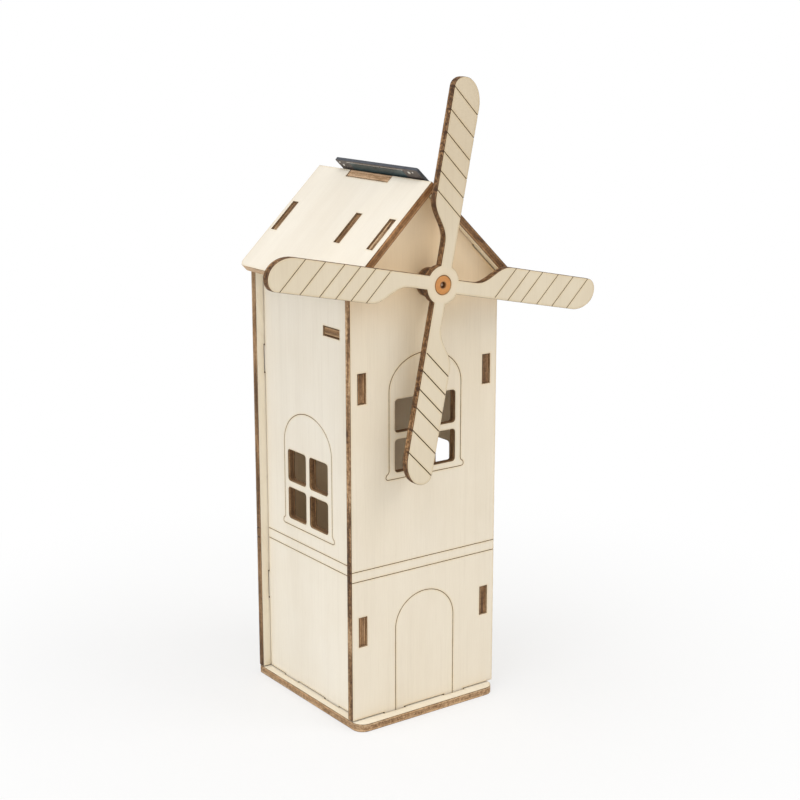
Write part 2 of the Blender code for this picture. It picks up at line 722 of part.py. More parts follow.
def foam_tapes():
    for tag, y in (("front", PANEL_Y0 + TAPE_END),
                   ("rear", PANEL_Y1 - TAPE_END - TAPE_L)):
        on_roof(f"foam_tape_{tag}", [rect(y, y + TAPE_L, 5.5, PANEL_S1 - 2.0)],
                (FILM_GAP, TAPE_SPACE - FILM_GAP),
                material(f"foam_tape_{tag}_white", (0.8, 0.8, 0.78), roughness=0.9))


# ------------------------------------------------------------------- wires
WIRE_R = 0.5


def bezier(controls, steps):
    """Points along a cubic curve through four control points."""
    out = []
    for i in range(steps + 1):
        t = i / steps
        weights = ((1 - t) ** 3, 3 * t * (1 - t) ** 2, 3 * t * t * (1 - t), t ** 3)
        out.append(sum((p * weight for p, weight in zip(controls, weights)), Vector()))
    return out


def wire_points(down, terminal_x, sag):
    """From the panel's underside through the roof to behind a terminal."""
    def at(out):
        x, z = slope(down, out)
        return Vector((x, WIRE_HOLE[0], z))

    below_roof = at(-PLY - 2.5)
    drop = at(-PLY - 9.0)
    drop.z -= sag
    end = Vector((terminal_x, CAP_Y + TERMINAL_REAR + 0.25, ROTOR_Z))
    behind = end + Vector((0, 9.0, 0))
    start = [at(TAPE_SPACE - 0.15), at(-1.0)]
    return start + bezier((below_roof, drop, behind, end), 12)


def wire(name, points, colour):
    curve = bpy.data.curves.new(name, "CURVE")
    curve.dimensions = "3D"
    curve.bevel_depth = WIRE_R * MM
    curve.bevel_resolution = 2
    curve.use_fill_caps = True
    spline = curve.splines.new("POLY")
    spline.points.add(len(points) - 1)
    for target, (x, y, z) in zip(spline.points, points):
        target.co = (x * MM, (y - CENTRE_Y) * MM, z * MM, 1)
    curve.materials.append(material(f"{name}_sleeve", colour, roughness=0.45))
    obj = bpy.data.objects.new(name, curve)
    parts.objects.link(obj)
    obj.parent = tower


# -------------------------------------------------------------------- build
base_plate()
gable_panels()
side_walls()
motor_shelf()
motor_bulkhead()
roofs()
rotor()

motor_can()
bearings()
end_cap()
terminals_and_brushes()
magnets()
motor_shaft()
armature_core()
coils()
commutator()

panel_backing()
cells_and_cover()
foam_tapes()
wire("wire_red", wire_points(WIRE_S[1], TERMINAL_X, sag=5.0), (0.55, 0.03, 0.02))
wire("wire_black", wire_points(WIRE_S[0], -TERMINAL_X, sag=0.0), (0.02, 0.02, 0.02))
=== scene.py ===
"""Looks for the laser-cut plywood windmill house.

The house stands on its base plate, +Z up and front towards -Y.  The shaft runs
along Y at x = 0, with the rotor on it, and the solar panel lies on the right
(+X) slope of the roof.  Every board is rebuilt from its CAD outline as a
three-ply sheet: engraved lines are real grooves, cut edges are layered and
slightly uneven, and each surface has a procedural material.  Lengths are
millimetres until they are written into a mesh; the stage, lights and camera
are in metres.
"""

import math

import bmesh
import bpy
import numpy as np
from mathutils import Matrix, Vector, noise
from mathutils.geometry import delaunay_2d_cdt

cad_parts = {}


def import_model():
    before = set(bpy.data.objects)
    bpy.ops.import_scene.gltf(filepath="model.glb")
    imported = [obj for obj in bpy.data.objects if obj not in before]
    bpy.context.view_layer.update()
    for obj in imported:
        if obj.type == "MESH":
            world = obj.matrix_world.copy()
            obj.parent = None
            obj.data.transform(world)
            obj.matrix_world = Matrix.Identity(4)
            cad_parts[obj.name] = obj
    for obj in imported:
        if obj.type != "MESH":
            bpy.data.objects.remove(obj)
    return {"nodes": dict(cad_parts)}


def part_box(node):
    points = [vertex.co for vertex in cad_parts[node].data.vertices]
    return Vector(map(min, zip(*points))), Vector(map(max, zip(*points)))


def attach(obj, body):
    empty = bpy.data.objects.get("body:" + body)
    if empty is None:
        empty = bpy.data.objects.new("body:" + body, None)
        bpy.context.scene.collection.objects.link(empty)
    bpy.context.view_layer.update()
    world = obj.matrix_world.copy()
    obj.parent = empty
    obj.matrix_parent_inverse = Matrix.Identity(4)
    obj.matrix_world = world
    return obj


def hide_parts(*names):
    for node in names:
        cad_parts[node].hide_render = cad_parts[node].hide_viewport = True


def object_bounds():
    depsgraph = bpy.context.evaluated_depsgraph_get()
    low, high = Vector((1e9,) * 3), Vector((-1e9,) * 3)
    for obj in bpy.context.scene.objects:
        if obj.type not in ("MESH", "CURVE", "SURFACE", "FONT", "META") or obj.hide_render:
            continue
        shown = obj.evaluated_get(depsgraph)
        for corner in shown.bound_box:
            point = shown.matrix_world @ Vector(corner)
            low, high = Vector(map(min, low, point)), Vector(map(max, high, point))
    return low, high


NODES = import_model()["nodes"]
cad_low, cad_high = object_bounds()
MM = 0.001

UP, FRONT, BACK = (0, 0, 1), (0, -1, 0), (0, 1, 0)
LEFT, RIGHT = (-1, 0, 0), (1, 0, 0)
LEFT_SLOPE, RIGHT_SLOPE = (-0.7, 0, 0.72), (0.7, 0, 0.72)


def low(node):
    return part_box(node)[0] / MM


def high(node):
    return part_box(node)[1] / MM


def shaft_height():
    bush_low, bush_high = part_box("hub_bush")
    return ((bush_low + bush_high) / 2 / MM).z


HUB_Z = shaft_height()
FRONT_Y = low("front_panel").y        # front face of the front panel
BASE_TOP = high("base_plate").z
ROOF_LOW, ROOF_HIGH = low("left_roof").z, high("left_roof").z


# ============================================================== node graphs
def rgb(*display):
    """0-255 display values to linear."""
    out = []
    for value in display:
        value /= 255.0
        out.append(value / 12.92 if value <= 0.04045
                   else ((value + 0.055) / 1.055) ** 2.4)
    return tuple(out)


def lit(colour, factor):
    return tuple(min(1.0, value * factor) for value in colour)


class Graph:
    """Builds the node graph of a material or a world."""

    def __init__(self, owner, output="ShaderNodeOutputMaterial"):
        self.owner = owner
        owner.use_nodes = True
        self.tree = owner.node_tree
        self.tree.nodes.clear()
        self.output = self.add(output)

    def add(self, kind, inputs=None, **props):
        node = self.tree.nodes.new(kind)
        for key, value in props.items():
            setattr(node, key, value)
        for key, value in (inputs or {}).items():
            self.put(node.inputs[key], value)
        return node

    def put(self, socket, value):
        if isinstance(value, bpy.types.NodeSocket):
            self.tree.links.new(value, socket)
        elif isinstance(value, (tuple, list)) and socket.type == "RGBA":
            socket.default_value = (*value[:3], 1.0)
        else:
            socket.default_value = value

    def surface(self, shader):
        """Send the shader to the output; gives the finished owner."""
        self.put(self.output.inputs[0], shader)
        return self.owner

    def principled(self, **values):
        inputs = {key.replace("_", " "): value for key, value in values.items()}
        return self.add("ShaderNodeBsdfPrincipled", inputs).outputs[0]

    def standard(self, **values):
        return self.surface(self.principled(**values))

    def mix_shaders(self, factor, first, second):
        return self.add("ShaderNodeMixShader",
                        {0: factor, 1: first, 2: second}).outputs[0]

    def is_camera_ray(self):
        return self.add("ShaderNodeLightPath").outputs["Is Camera Ray"]

    def uv_mm(self):
        """Board coordinates in millimetres."""
        return self.stretched(self.add("ShaderNodeUVMap").outputs[0], (100, 100, 1))

    def object_mm(self):
        """Object coordinates in millimetres."""
        coords = self.add("ShaderNodeTexCoord").outputs["Object"]
        return self.stretched(coords, (1000, 1000, 1000))

    def stretched(self, vector, scale, offset=(0, 0, 0)):
        return self.add("ShaderNodeMapping", {
            "Vector": vector, "Scale": scale, "Location": offset}).outputs[0]

    def noise(self, vector, stretch=None, offset=(0, 0, 0), scale=1.0, detail=3,
              rough=0.6, distortion=0.0):
        if stretch:
            vector = self.stretched(vector, stretch, offset)
        return self.add("ShaderNodeTexNoise", {
            "Vector": vector, "Scale": scale, "Detail": detail,
            "Roughness": rough, "Distortion": distortion}).outputs[0]

    def voronoi(self, vector, scale=1.0):
        return self.add("ShaderNodeTexVoronoi",
                        {"Vector": vector, "Scale": scale}).outputs[0]

    def ramp(self, factor, stops):
        """stops: (position, colour or grey)."""
        node = self.add("ShaderNodeValToRGB", {0: factor})
        elements = node.color_ramp.elements
        while len(elements) < len(stops):
            elements.new(0.5)
        for element, (position, colour) in zip(elements, stops):
            element.position = position
            if not isinstance(colour, (tuple, list)):
                colour = (colour, colour, colour)
            element.color = (*colour, 1.0)
        return node.outputs[0]

    def spread(self, factor, dark, bright):
        """A ramp over the middle of a noise's range."""
        return self.ramp(factor, [(0.3, dark), (0.7, bright)])

    def mix(self, factor, base, other, mode="MIX"):
        return self.add("ShaderNodeMix", {0: factor, 6: base, 7: other},
                        data_type="RGBA", blend_type=mode).outputs[2]

    def tint(self, factor, base, other):
        return self.mix(factor, base, other, "MULTIPLY")

    def calc(self, operation, first, second, clamp=False):
        return self.add("ShaderNodeMath", {0: first, 1: second},
                        operation=operation, use_clamp=clamp).outputs[0]

    def plus(self, first, second, clamp=False):
        return self.calc("ADD", first, second, clamp)

    def minus(self, first, second):
        return self.calc("SUBTRACT", first, second)

    def times(self, first, second, clamp=False):
        return self.calc("MULTIPLY", first, second, clamp)

    def swayed(self, value, pattern, amount):
        """value plus a noise centred on zero."""
        return self.plus(value, self.times(self.minus(pattern, 0.5), amount))

    def parts(self, vector):
        return self.add("ShaderNodeSeparateXYZ", {0: vector}).outputs

    def distance(self, vector, point):
        return self.add("ShaderNodeVectorMath", {0: vector, 1: point},
                        operation="DISTANCE").outputs["Value"]

    def from_shaft(self, coords):
        return self.distance(self.stretched(coords, (1, 0, 1)), (0, 0, HUB_Z))

    def place(self, coords, axis):
        """X, Y or Z of object coordinates, or R from the shaft's axis."""
        if axis == "R":
            return self.from_shaft(coords)
        return self.parts(coords)["XYZ".index(axis)]

    def smooth(self, value, start, end, first=0.0, last=1.0):
        return self.add("ShaderNodeMapRange", {
            "Value": value, "From Min": start, "From Max": end,
            "To Min": first, "To Max": last},
            interpolation_type="SMOOTHSTEP").outputs[0]

    def bump(self, height, depth, strength, normal=None):
        inputs = {"Height": height, "Distance": depth * MM, "Strength": strength}
        if normal is not None:
            inputs["Normal"] = normal
        return self.add("ShaderNodeBump", inputs).outputs[0]


def new_material(name):
    return Graph(bpy.data.materials.new(name))


# ================================================================ materials
def ply_face(name, colour, seed, shades=(), ring=None, figure=1.0):
    """Peeled basswood veneer: fine straight fibres along UV y, a slow figure,
    short pores, smoke tint beside every laser cut and a dry, fuzzy surface.
    shades: (axis, from, to, tint) gradients in part coordinates, mostly painted
    shade and light, optionally with (from, to) where they fade out again.
    ring: (inner radius, outer radius, colour) of a band about the hub.
    figure: strength of the dark streaks."""
    mat = new_material(name)
    uv = mat.uv_mm()
    offset = (seed * 13.7, seed * 7.3, seed * 3.1)
    broad = mat.noise(uv, (0.10, 0.010, 1), offset, rough=0.5, distortion=0.5)
    streak = mat.noise(uv, (0.9, 0.016, 1), offset, detail=4, distortion=0.2)
    fibre = mat.noise(uv, (4.2, 0.11, 1), offset, rough=0.65)
    pores = mat.noise(uv, (7.5, 0.85, 1), offset, detail=2, rough=0.5)
    mottle = mat.noise(uv, (0.05, 0.04, 1), offset, rough=0.5)

    def tone(level):
        """Darker tones are also warmer."""
        return (colour[0] * level, colour[1] * level ** 1.15,
                colour[2] * level ** 1.3)

    base = mat.ramp(broad, [(0.30, tone(0.975)), (0.52, tone(1.0)),
                            (0.72, tone(1.015))])
    streak_mask = mat.smooth(streak, start=0.48, end=0.72)
    base = mat.mix(mat.times(streak_mask, 0.34 * figure), base, tone(0.91))
    base = mat.tint(0.5, base, mat.ramp(fibre, [(0.25, (0.925, 0.91, 0.885)),
                                                (0.5, (0.985, 0.98, 0.97)),
                                                (0.75, (1.03, 1.035, 1.04))]))
    pore_mask = mat.smooth(pores, start=0.66, end=0.76)
    base = mat.mix(mat.times(pore_mask, 0.22), base, tone(0.70))
    base = mat.tint(0.6, base, mat.spread(mottle, (0.972, 0.955, 0.925),
                                          (1.018, 1.02, 1.025)))
    if shades:
        coords = mat.object_mm()
        for axis, start, end, tint, *fade in shades:
            along = mat.place(coords, axis)
            mask = mat.smooth(along, start, end)
            if fade:
                mask = mat.times(mask, mat.smooth(along, *fade, first=1.0, last=0.0))
            base = mat.tint(mask, base, tint)
    if ring:
        inner, outer, ring_colour = ring
        radius = mat.distance(uv, (0.0, HUB_Z, 0.0))
        band = mat.times(mat.smooth(radius, inner - 0.35, inner + 0.45),
                         mat.smooth(radius, outer - 0.7, outer + 0.4, 1.0, 0.0))
        base = mat.mix(mat.times(band, 0.42), base, ring_colour)
    smoke = mat.add("ShaderNodeAttribute", attribute_name="smoke").outputs["Fac"]
    patchy = mat.noise(uv, (0.35, 0.35, 1), offset)
    smoke = mat.times(smoke, mat.spread(patchy, 0.45, 1.15), clamp=True)
    base = mat.tint(smoke, base, (0.955, 0.90, 0.79))
    height = mat.plus(mat.times(fibre, 0.6), mat.times(pores, 0.5))
    fine_normal = mat.bump(height, depth=0.05, strength=0.5)
    return mat.standard(
        Base_Color=base, Roughness=mat.spread(fibre, 0.58, 0.76),
        Specular_IOR_Level=0.28, Sheen_Weight=0.05, Sheen_Roughness=0.6,
        Normal=mat.bump(streak, depth=0.10, strength=0.2, normal=fine_normal))


# (brightness, colour) of a cut edge, charred to pale
EDGE_TONES = [(0.0, rgb(74, 53, 37)), (0.42, rgb(136, 106, 75)),
              (0.72, rgb(176, 145, 110)), (1.0, rgb(212, 184, 150))]
# (share of the thickness, brightness): outer plies, glue lines and core
PLY_LAYERS = [(0.00, 0.62), (0.27, 0.66), (0.305, 0.22), (0.34, 0.44),
              (0.50, 0.48), (0.66, 0.44), (0.695, 0.22), (0.73, 0.62),
              (1.0, 0.62)]
# (share of the thickness, strength) of the scorched lines at both faces
SCORCH_LINES = [(0.00, 1.0), (0.035, 0.9), (0.085, 0.0), (0.915, 0.0),
                (0.965, 0.8), (1.0, 1.0)]


def ply_edge(name, seed, bias=0.0, zones=(), vary=1.0, warm=0.5, line=0.6,
             coarse=0.9, tints=(), fleck=0.6):
    """Laser-cut edge.  UV x runs along the cut in millimetres, y from 0 at the
    outer face to 100 at the inner one: a scorched line at each face, paler
    outer plies, a browner core, thin glue lines and upright striations.
    bias shifts the brightness; vary, coarse and fleck are the amounts of broad,
    gritty and patchy change; line is the scorched lines' strength.
    zones: (axis, from, to, change) and tints: (axis, from, to, colour), in
    part coordinates, R from the hub."""
    mat = new_material(name)
    uv = mat.uv_mm()
    offset = (seed * 17.1, seed * 5.9, seed)
    along = mat.noise(uv, (0.055, 0.010, 1), offset, distortion=0.4)
    layer = mat.noise(uv, (0.12, 0.16, 1), offset, detail=4, rough=0.65)
    waver = mat.noise(uv, (0.45, 0.0, 1), offset)
    striation = mat.noise(uv, (4.5, 0.03, 1), offset, rough=0.7)
    grit = mat.noise(uv, (2.6, 0.085, 1), offset, detail=4, rough=0.7)
    patch = mat.noise(uv, (0.85, 0.018, 1), offset, rough=0.65, distortion=0.3)
    depth = mat.swayed(mat.parts(uv)[1], waver, amount=8.0)
    depth = mat.calc("DIVIDE", depth, 100.0, clamp=True)
    across = mat.ramp(depth, PLY_LAYERS)
    scorch = mat.ramp(depth, SCORCH_LINES)

    bright = mat.plus(across, bias)
    for pattern, amount in ((along, 1.5 * vary), (layer, 0.9 * vary),
                            (grit, coarse), (patch, fleck)):
        bright = mat.swayed(bright, pattern, amount)
    if zones:
        coords = mat.object_mm()
        for axis, start, end, change in zones:
            bright = mat.plus(bright, mat.smooth(mat.place(coords, axis),
                                                 start, end, 0.0, change))
    bright = mat.minus(bright, mat.times(scorch, line))
    smoke = mat.add("ShaderNodeAttribute", attribute_name="smoke").outputs["Fac"]
    bright = mat.minus(bright, mat.smooth(smoke, start=0.45, end=0.95,
                                          first=0.0, last=0.65))
    base = mat.ramp(bright, EDGE_TONES)
    hue = mat.noise(uv, (0.04, 0.02, 1), (seed * 3.1, 4.0, 0), detail=2, rough=0.5)
    warmth = mat.smooth(hue, start=0.35, end=0.65, first=0.0, last=0.6)
    base = mat.tint(mat.plus(warmth, warm - 0.3, clamp=True), base,
                    (1.08, 0.95, 0.80))
    for axis, start, end, tint in tints:
        mask = mat.smooth(mat.place(mat.object_mm(), axis), start, end)
        base = mat.tint(mask, base, tint)
    base = mat.tint(0.7, base, mat.spread(striation, (0.84, 0.83, 0.82),
                                          (1.10, 1.09, 1.08)))
    fine_normal = mat.bump(striation, depth=0.06, strength=0.6)
    return mat.standard(
        Base_Color=base, Roughness=mat.spread(grit, 0.52, 0.84),
        Specular_IOR_Level=0.30,
        Normal=mat.bump(across, depth=0.05, strength=0.4, normal=fine_normal))


def burnt(name, seed, darkness):
    """Engraved line: scorched along its length, unevenly."""
    mat = new_material(name)
    uv = mat.uv_mm()
    offset = (seed * 9.1, seed * 4.2, seed)
    broad = mat.noise(uv, (0.5, 0.5, 1), offset)
    fine = mat.noise(uv, (4.0, 4.0, 1), offset, detail=2)
    dark, pale = (tuple(value / darkness for value in colour)
                  for colour in (rgb(104, 76, 42), rgb(158, 124, 76)))
    base = mat.mix(mat.spread(broad, 0.0, 1.0), dark, pale)
    base = mat.tint(0.6, base, mat.spread(fine, 0.75, 1.15))
    return mat.standard(Base_Color=base, Roughness=0.85, Specular_IOR_Level=0.2,
                        Normal=mat.bump(fine, depth=0.05, strength=0.7))


def plastic(name, colour, seed, rough=0.45, spread=0.12, scale=0.9, turned=False,
            subsurface=0.0):
    """Mottled plastic; turned adds lathe rings, and painted shade at the rim and in the
    bore.
    """
    mat = new_material(name)
    coords = mat.object_mm()
    offset = (seed * 3.3, seed * 1.7, seed)
    broad = mat.noise(coords, (scale,) * 3, offset, detail=4)
    fine = mat.noise(coords, (7 * scale,) * 3, offset, detail=2)
    base = mat.spread(broad, lit(colour, 1 - spread), lit(colour, 1 + spread))
    height = mat.times(fine, 0.4)
    if turned:
        along = mat.parts(coords)[1]
        radius = mat.from_shaft(coords)
        polar = mat.add("ShaderNodeCombineXYZ", {0: radius, 1: along}).outputs[0]
        rings = mat.noise(polar, (5.5, 0.6, 1), offset)
        base = mat.tint(0.7, base, mat.spread(rings, 0.84, 1.10))
        # painted shade, darker towards the rim and down the bore
        rim = mat.smooth(radius, start=2.9, end=3.4)
        base = mat.mix(mat.times(rim, 0.45), base, lit(colour, 0.5))
        bore = mat.smooth(radius, start=1.55, end=1.15)
        base = mat.mix(mat.times(bore, 0.8), base, lit(colour, 0.2))
        height = mat.plus(height, mat.times(rings, 0.8))
    extra = {}
    if subsurface:
        extra = dict(Subsurface_Weight=subsurface, Subsurface_Scale=0.0008)
    return mat.standard(Base_Color=base,
                        Roughness=mat.spread(fine, rough - 0.08, rough + 0.10),
                        Normal=mat.bump(height, depth=0.05, strength=0.5), **extra)


def metal(name, colour, seed, rough=0.3, brush=(0.4, 6.0, 6.0), tarnish=0.25):
    """Brushed metal with dull spots; brush is the stretch of its fine lines."""
    mat = new_material(name)
    coords = mat.object_mm()
    offset = (seed * 2.3, seed * 5.1, seed)
    lines = mat.noise(coords, brush, offset, rough=0.7)
    spots = mat.noise(coords, (0.5, 0.5, 0.5), offset, detail=4)
    base = mat.spread(lines, lit(colour, 0.82), lit(colour, 1.08))
    dull = mat.times(mat.smooth(spots, start=0.5, end=0.72), tarnish)
    base = mat.mix(dull, base, (0.35, 0.33, 0.30))
    return mat.standard(Base_Color=base, Metallic=1.0,
                        Roughness=mat.spread(spots, rough * 0.8, rough * 1.5),
                        Normal=mat.bump(lines, depth=0.02, strength=0.5))


def foam(name):
    mat = new_material(name)
    coords = mat.object_mm()
    cells = mat.voronoi(coords, scale=3.2)
    grain = mat.noise(coords, scale=1.2, detail=4)
    return mat.standard(
        Base_Color=mat.mix(mat.ramp(cells, [(0.1, 0.0), (0.7, 1.0)]),
                           rgb(196, 192, 180), rgb(232, 230, 222)),
        Roughness=0.9, Specular_IOR_Level=0.2,
        Normal=mat.bump(mat.plus(cells, grain), depth=0.25, strength=0.8))


def circuit_board(name, colour, seed, gloss=0.35):
    """Mottled board with a fine weave; gloss is its base roughness."""
    mat = new_material(name)
    coords = mat.object_mm()
    broad = mat.noise(coords, scale=0.35, detail=4)
    weave = mat.noise(coords, (2.2, 2.2, 2.2), (seed, seed, 0))
    base = mat.spread(broad, lit(colour, 0.75), lit(colour, 1.3))
    base = mat.tint(0.5, base, mat.spread(weave, 0.8, 1.2))
    return mat.standard(Base_Color=base,
                        Roughness=mat.spread(weave, gloss - 0.05, gloss + 0.15),
                        Normal=mat.bump(weave, depth=0.04, strength=0.5))


def silicon(name, seed):
    mat = new_material(name)
    coords = mat.object_mm()
    flake = mat.voronoi(mat.stretched(coords, (0.35, 0.35, 0.35),
                                      (seed, seed, seed)))
    fine = mat.noise(coords, (1.5, 1.5, 1.5), (seed, 0, 0), detail=4)
    base = mat.ramp(flake, [(0.1, rgb(22, 36, 82)), (0.55, rgb(30, 48, 104)),
                            (0.9, rgb(42, 62, 124))])
    base = mat.tint(0.4, base, mat.spread(fine, 0.8, 1.2))
    return mat.standard(Base_Color=base, Roughness=0.32, Metallic=0.1,
                        Normal=mat.bump(fine, depth=0.02, strength=0.3))


def clear_epoxy():
    """Mostly transparent, with a glossy, slightly uneven outer surface."""
    mat = new_material("clear_epoxy")
    coords = mat.object_mm()
    wave = mat.noise(coords, scale=0.16, detail=2, rough=0.5)
    scuff = mat.noise(coords, scale=2.5, detail=4, rough=0.7)
    normal = mat.bump(wave, depth=0.25, strength=0.12)
    clear = mat.add("ShaderNodeBsdfTransparent", {0: (0.93, 0.96, 0.97)})
    gloss = mat.add("ShaderNodeBsdfGlossy", {
        "Color": (0.95, 0.97, 1.0), "Normal": normal,
        "Roughness": mat.ramp(scuff, [(0.3, 0.03), (0.75, 0.16)])})
    fresnel = mat.add("ShaderNodeFresnel", {"IOR": 1.5, "Normal": normal})
    geometry = mat.add("ShaderNodeNewGeometry")
    outside = mat.minus(1.0, geometry.outputs["Backfacing"])
    shine = mat.times(outside, mat.times(fresnel.outputs[0], 0.9))
    return mat.surface(mat.mix_shaders(shine, clear.outputs[0], gloss.outputs[0]))


def pale_table():
    """A light table that fades, to the camera, into the white beyond it."""
    mat = new_material("pale_table")
    coords = mat.object_mm()
    broad = mat.noise(coords, scale=0.012, rough=0.5)
    table = mat.principled(Base_Color=mat.spread(broad, 0.885, 0.90),
                           Roughness=0.7, Specular_IOR_Level=0.2)
    far = mat.smooth(mat.distance(coords, (0.0, 0.0, 0.0)),
                     start=20.0, end=260.0, first=0.58, last=1.0)
    glow = mat.add("ShaderNodeEmission").outputs[0]
    return mat.surface(mat.mix_shaders(mat.times(far, mat.is_camera_ray()),
                                       table, glow))


# ========================================================= outlines in 2D
def area(loop):
    return sum(a[0] * b[1] - b[0] * a[1]
               for a, b in zip(loop, loop[1:] + loop[:1])) / 2


def clockwise(a, b, c):
    return (b[0] - a[0]) * (c[1] - a[1]) - (b[1] - a[1]) * (c[0] - a[0]) < 0


def boundary_loops(edges):
    """Chains the directed edges that have no opposite into loops of ids."""
    following = {a: b for a, b in edges if (b, a) not in edges}
    loops = []
    while following:
        at = min(following)
        loop = []
        while at in following:
            loop.append(at)
            at = following.pop(at)
        loops.append(loop)
    return loops


def straighten(loop):
    """Drops the points that lie on straight runs."""
    out = []
    for i, here in enumerate(loop):
        before, after = loop[i - 1], loop[(i + 1) % len(loop)]
        d1 = (here[0] - before[0], here[1] - before[1])
        d2 = (after[0] - here[0], after[1] - here[1])
        cross = d1[0] * d2[1] - d1[1] * d2[0]
        if abs(cross) > 2e-3 * math.hypot(*d1) * math.hypot(*d2) or \
                d1[0] * d2[0] + d1[1] * d2[1] < 0:
            out.append(here)
    return out


STRAIGHT_BELOW, CORNER_ABOVE = 0.6, 29     # degrees of turn at a point
LONGEST_CHORD = 8                          # longer pieces are straights


def resample(loop, step):
    """More points on a closed loop: arcs are rounded, straights divided."""
    count = len(loop)
    points = [Vector(p) for p in loop]
    rounded, tangents = [], []
    for i in range(count):
        d1 = (points[i] - points[i - 1]).normalized()
        d2 = (points[(i + 1) % count] - points[i]).normalized()
        turn = math.degrees(math.atan2(abs(d1.x * d2.y - d1.y * d2.x), d1.dot(d2)))
        rounded.append(STRAIGHT_BELOW < turn < CORNER_ABOVE)
        tangents.append((d1 + d2).normalized() if turn < CORNER_ABOVE else None)
    out = []
    for i in range(count):
        j = (i + 1) % count
        start, end = points[i], points[j]
        length = (end - start).length
        direction = (end - start).normalized()
        curved = (rounded[i] or rounded[j]) and length < LONGEST_CHORD
        pieces = max(1, math.ceil(length / step))
        if curved and length > 0.25:
            pieces = max(pieces, 2)
        leaving = tangents[i] if tangents[i] is not None else direction
        arriving = tangents[j] if tangents[j] is not None else direction
        for k in range(pieces):
            t = k / pieces
            if curved:                      # cubic Hermite
                h = (2 * t ** 3 - 3 * t ** 2 + 1, t ** 3 - 2 * t ** 2 + t,
                     -2 * t ** 3 + 3 * t ** 2, t ** 3 - t ** 2)
                point = (start * h[0] + leaving * (length * h[1])
                         + end * h[2] + arriving * (length * h[3]))
            else:
                point = start + (end - start) * t
            out.append((point.x, point.y))
    return out


def inward(loop):
    """Miter normals pointing to the left of travel, into the material."""
    points = np.array(loop)
    d1 = points - np.roll(points, 1, 0)
    d2 = np.roll(points, -1, 0) - points
    d1 /= np.maximum(np.linalg.norm(d1, axis=1), 1e-9)[:, None]
    d2 /= np.maximum(np.linalg.norm(d2, axis=1), 1e-9)[:, None]
    n1 = np.stack((-d1[:, 1], d1[:, 0]), 1)
    n2 = np.stack((-d2[:, 1], d2[:, 0]), 1)
    spread = 1 + (n1 * n2).sum(1)
    return (n1 + n2) / np.maximum(spread, 0.5)[:, None]


def inset_loop(loop, distance):
    return [tuple(p) for p in np.array(loop) + inward(loop) * distance]


def ribbon(path, width, closed):
    """The sides of a path: two loops if it is closed, otherwise one."""
    points = np.array(path, float)
    if closed:
        normals = inward(path)
    else:
        steps = np.diff(points, axis=0)
        steps /= np.linalg.norm(steps, axis=1)[:, None]
        tangents = np.vstack((steps[:1], steps[:-1] + steps[1:], steps[-1:]))
        tangents /= np.linalg.norm(tangents, axis=1)[:, None]
        normals = np.stack((-tangents[:, 1], tangents[:, 0]), 1)
    left = [tuple(p) for p in points + normals * width / 2]
    right = [tuple(p) for p in points - normals * width / 2]
    return [left, right] if closed else [left + right[::-1]]


class Line:
    """An engraved line: a groove with sloping sides and a flat floor."""

    def __init__(self, path, width, depth, closed=False):
        self.path, self.width, self.depth, self.closed = path, width, depth, closed
        self.starts = np.array(path, float)
        ends = np.roll(self.starts, -1, 0)
        if not closed:
            self.starts, ends = self.starts[:-1], ends[:-1]
        self.spans = ends - self.starts

    def reach(self, points):
        """Distance of points from the line's centre."""
        best = np.full(len(points), 1e9)
        for start, span in zip(self.starts, self.spans):
            offset = points - start
            t = np.clip((offset @ span) / (span @ span), 0, 1)
            best = np.minimum(best, np.linalg.norm(offset - t[:, None] * span,
                                                   axis=1))
        return best

    def height(self, points):
        rim, floor = self.width / 2, self.width / 5
        slope = (rim - self.reach(points)) / (rim - floor)
        return -self.depth * np.clip(slope, 0, 1)


class Outlines:
    """Loops gathered for the triangulator, as faces or as creases."""

    def __init__(self):
        self.coords, self.faces, self.creases = [], [], []

    def add_points(self, loop):
        base = len(self.coords)
        self.coords.extend(Vector(p) for p in loop)
        return list(range(base, base + len(loop)))

    def add_face(self, loop):
        ids = self.add_points(loop)
        self.faces.append(ids if area(loop) > 0 else ids[::-1])

    def add_crease(self, loop):
        ids = self.add_points(loop)
        self.creases.extend(zip(ids, ids[1:] + ids[:1]))

    def triangulate(self, epsilon):
        """Points, triangles, each point's sources, each triangle's faces."""
        points, _, triangles, sources, _, owners = delaunay_2d_cdt(
            self.coords, self.creases, self.faces, 1, epsilon)
        return points, triangles, sources, owners


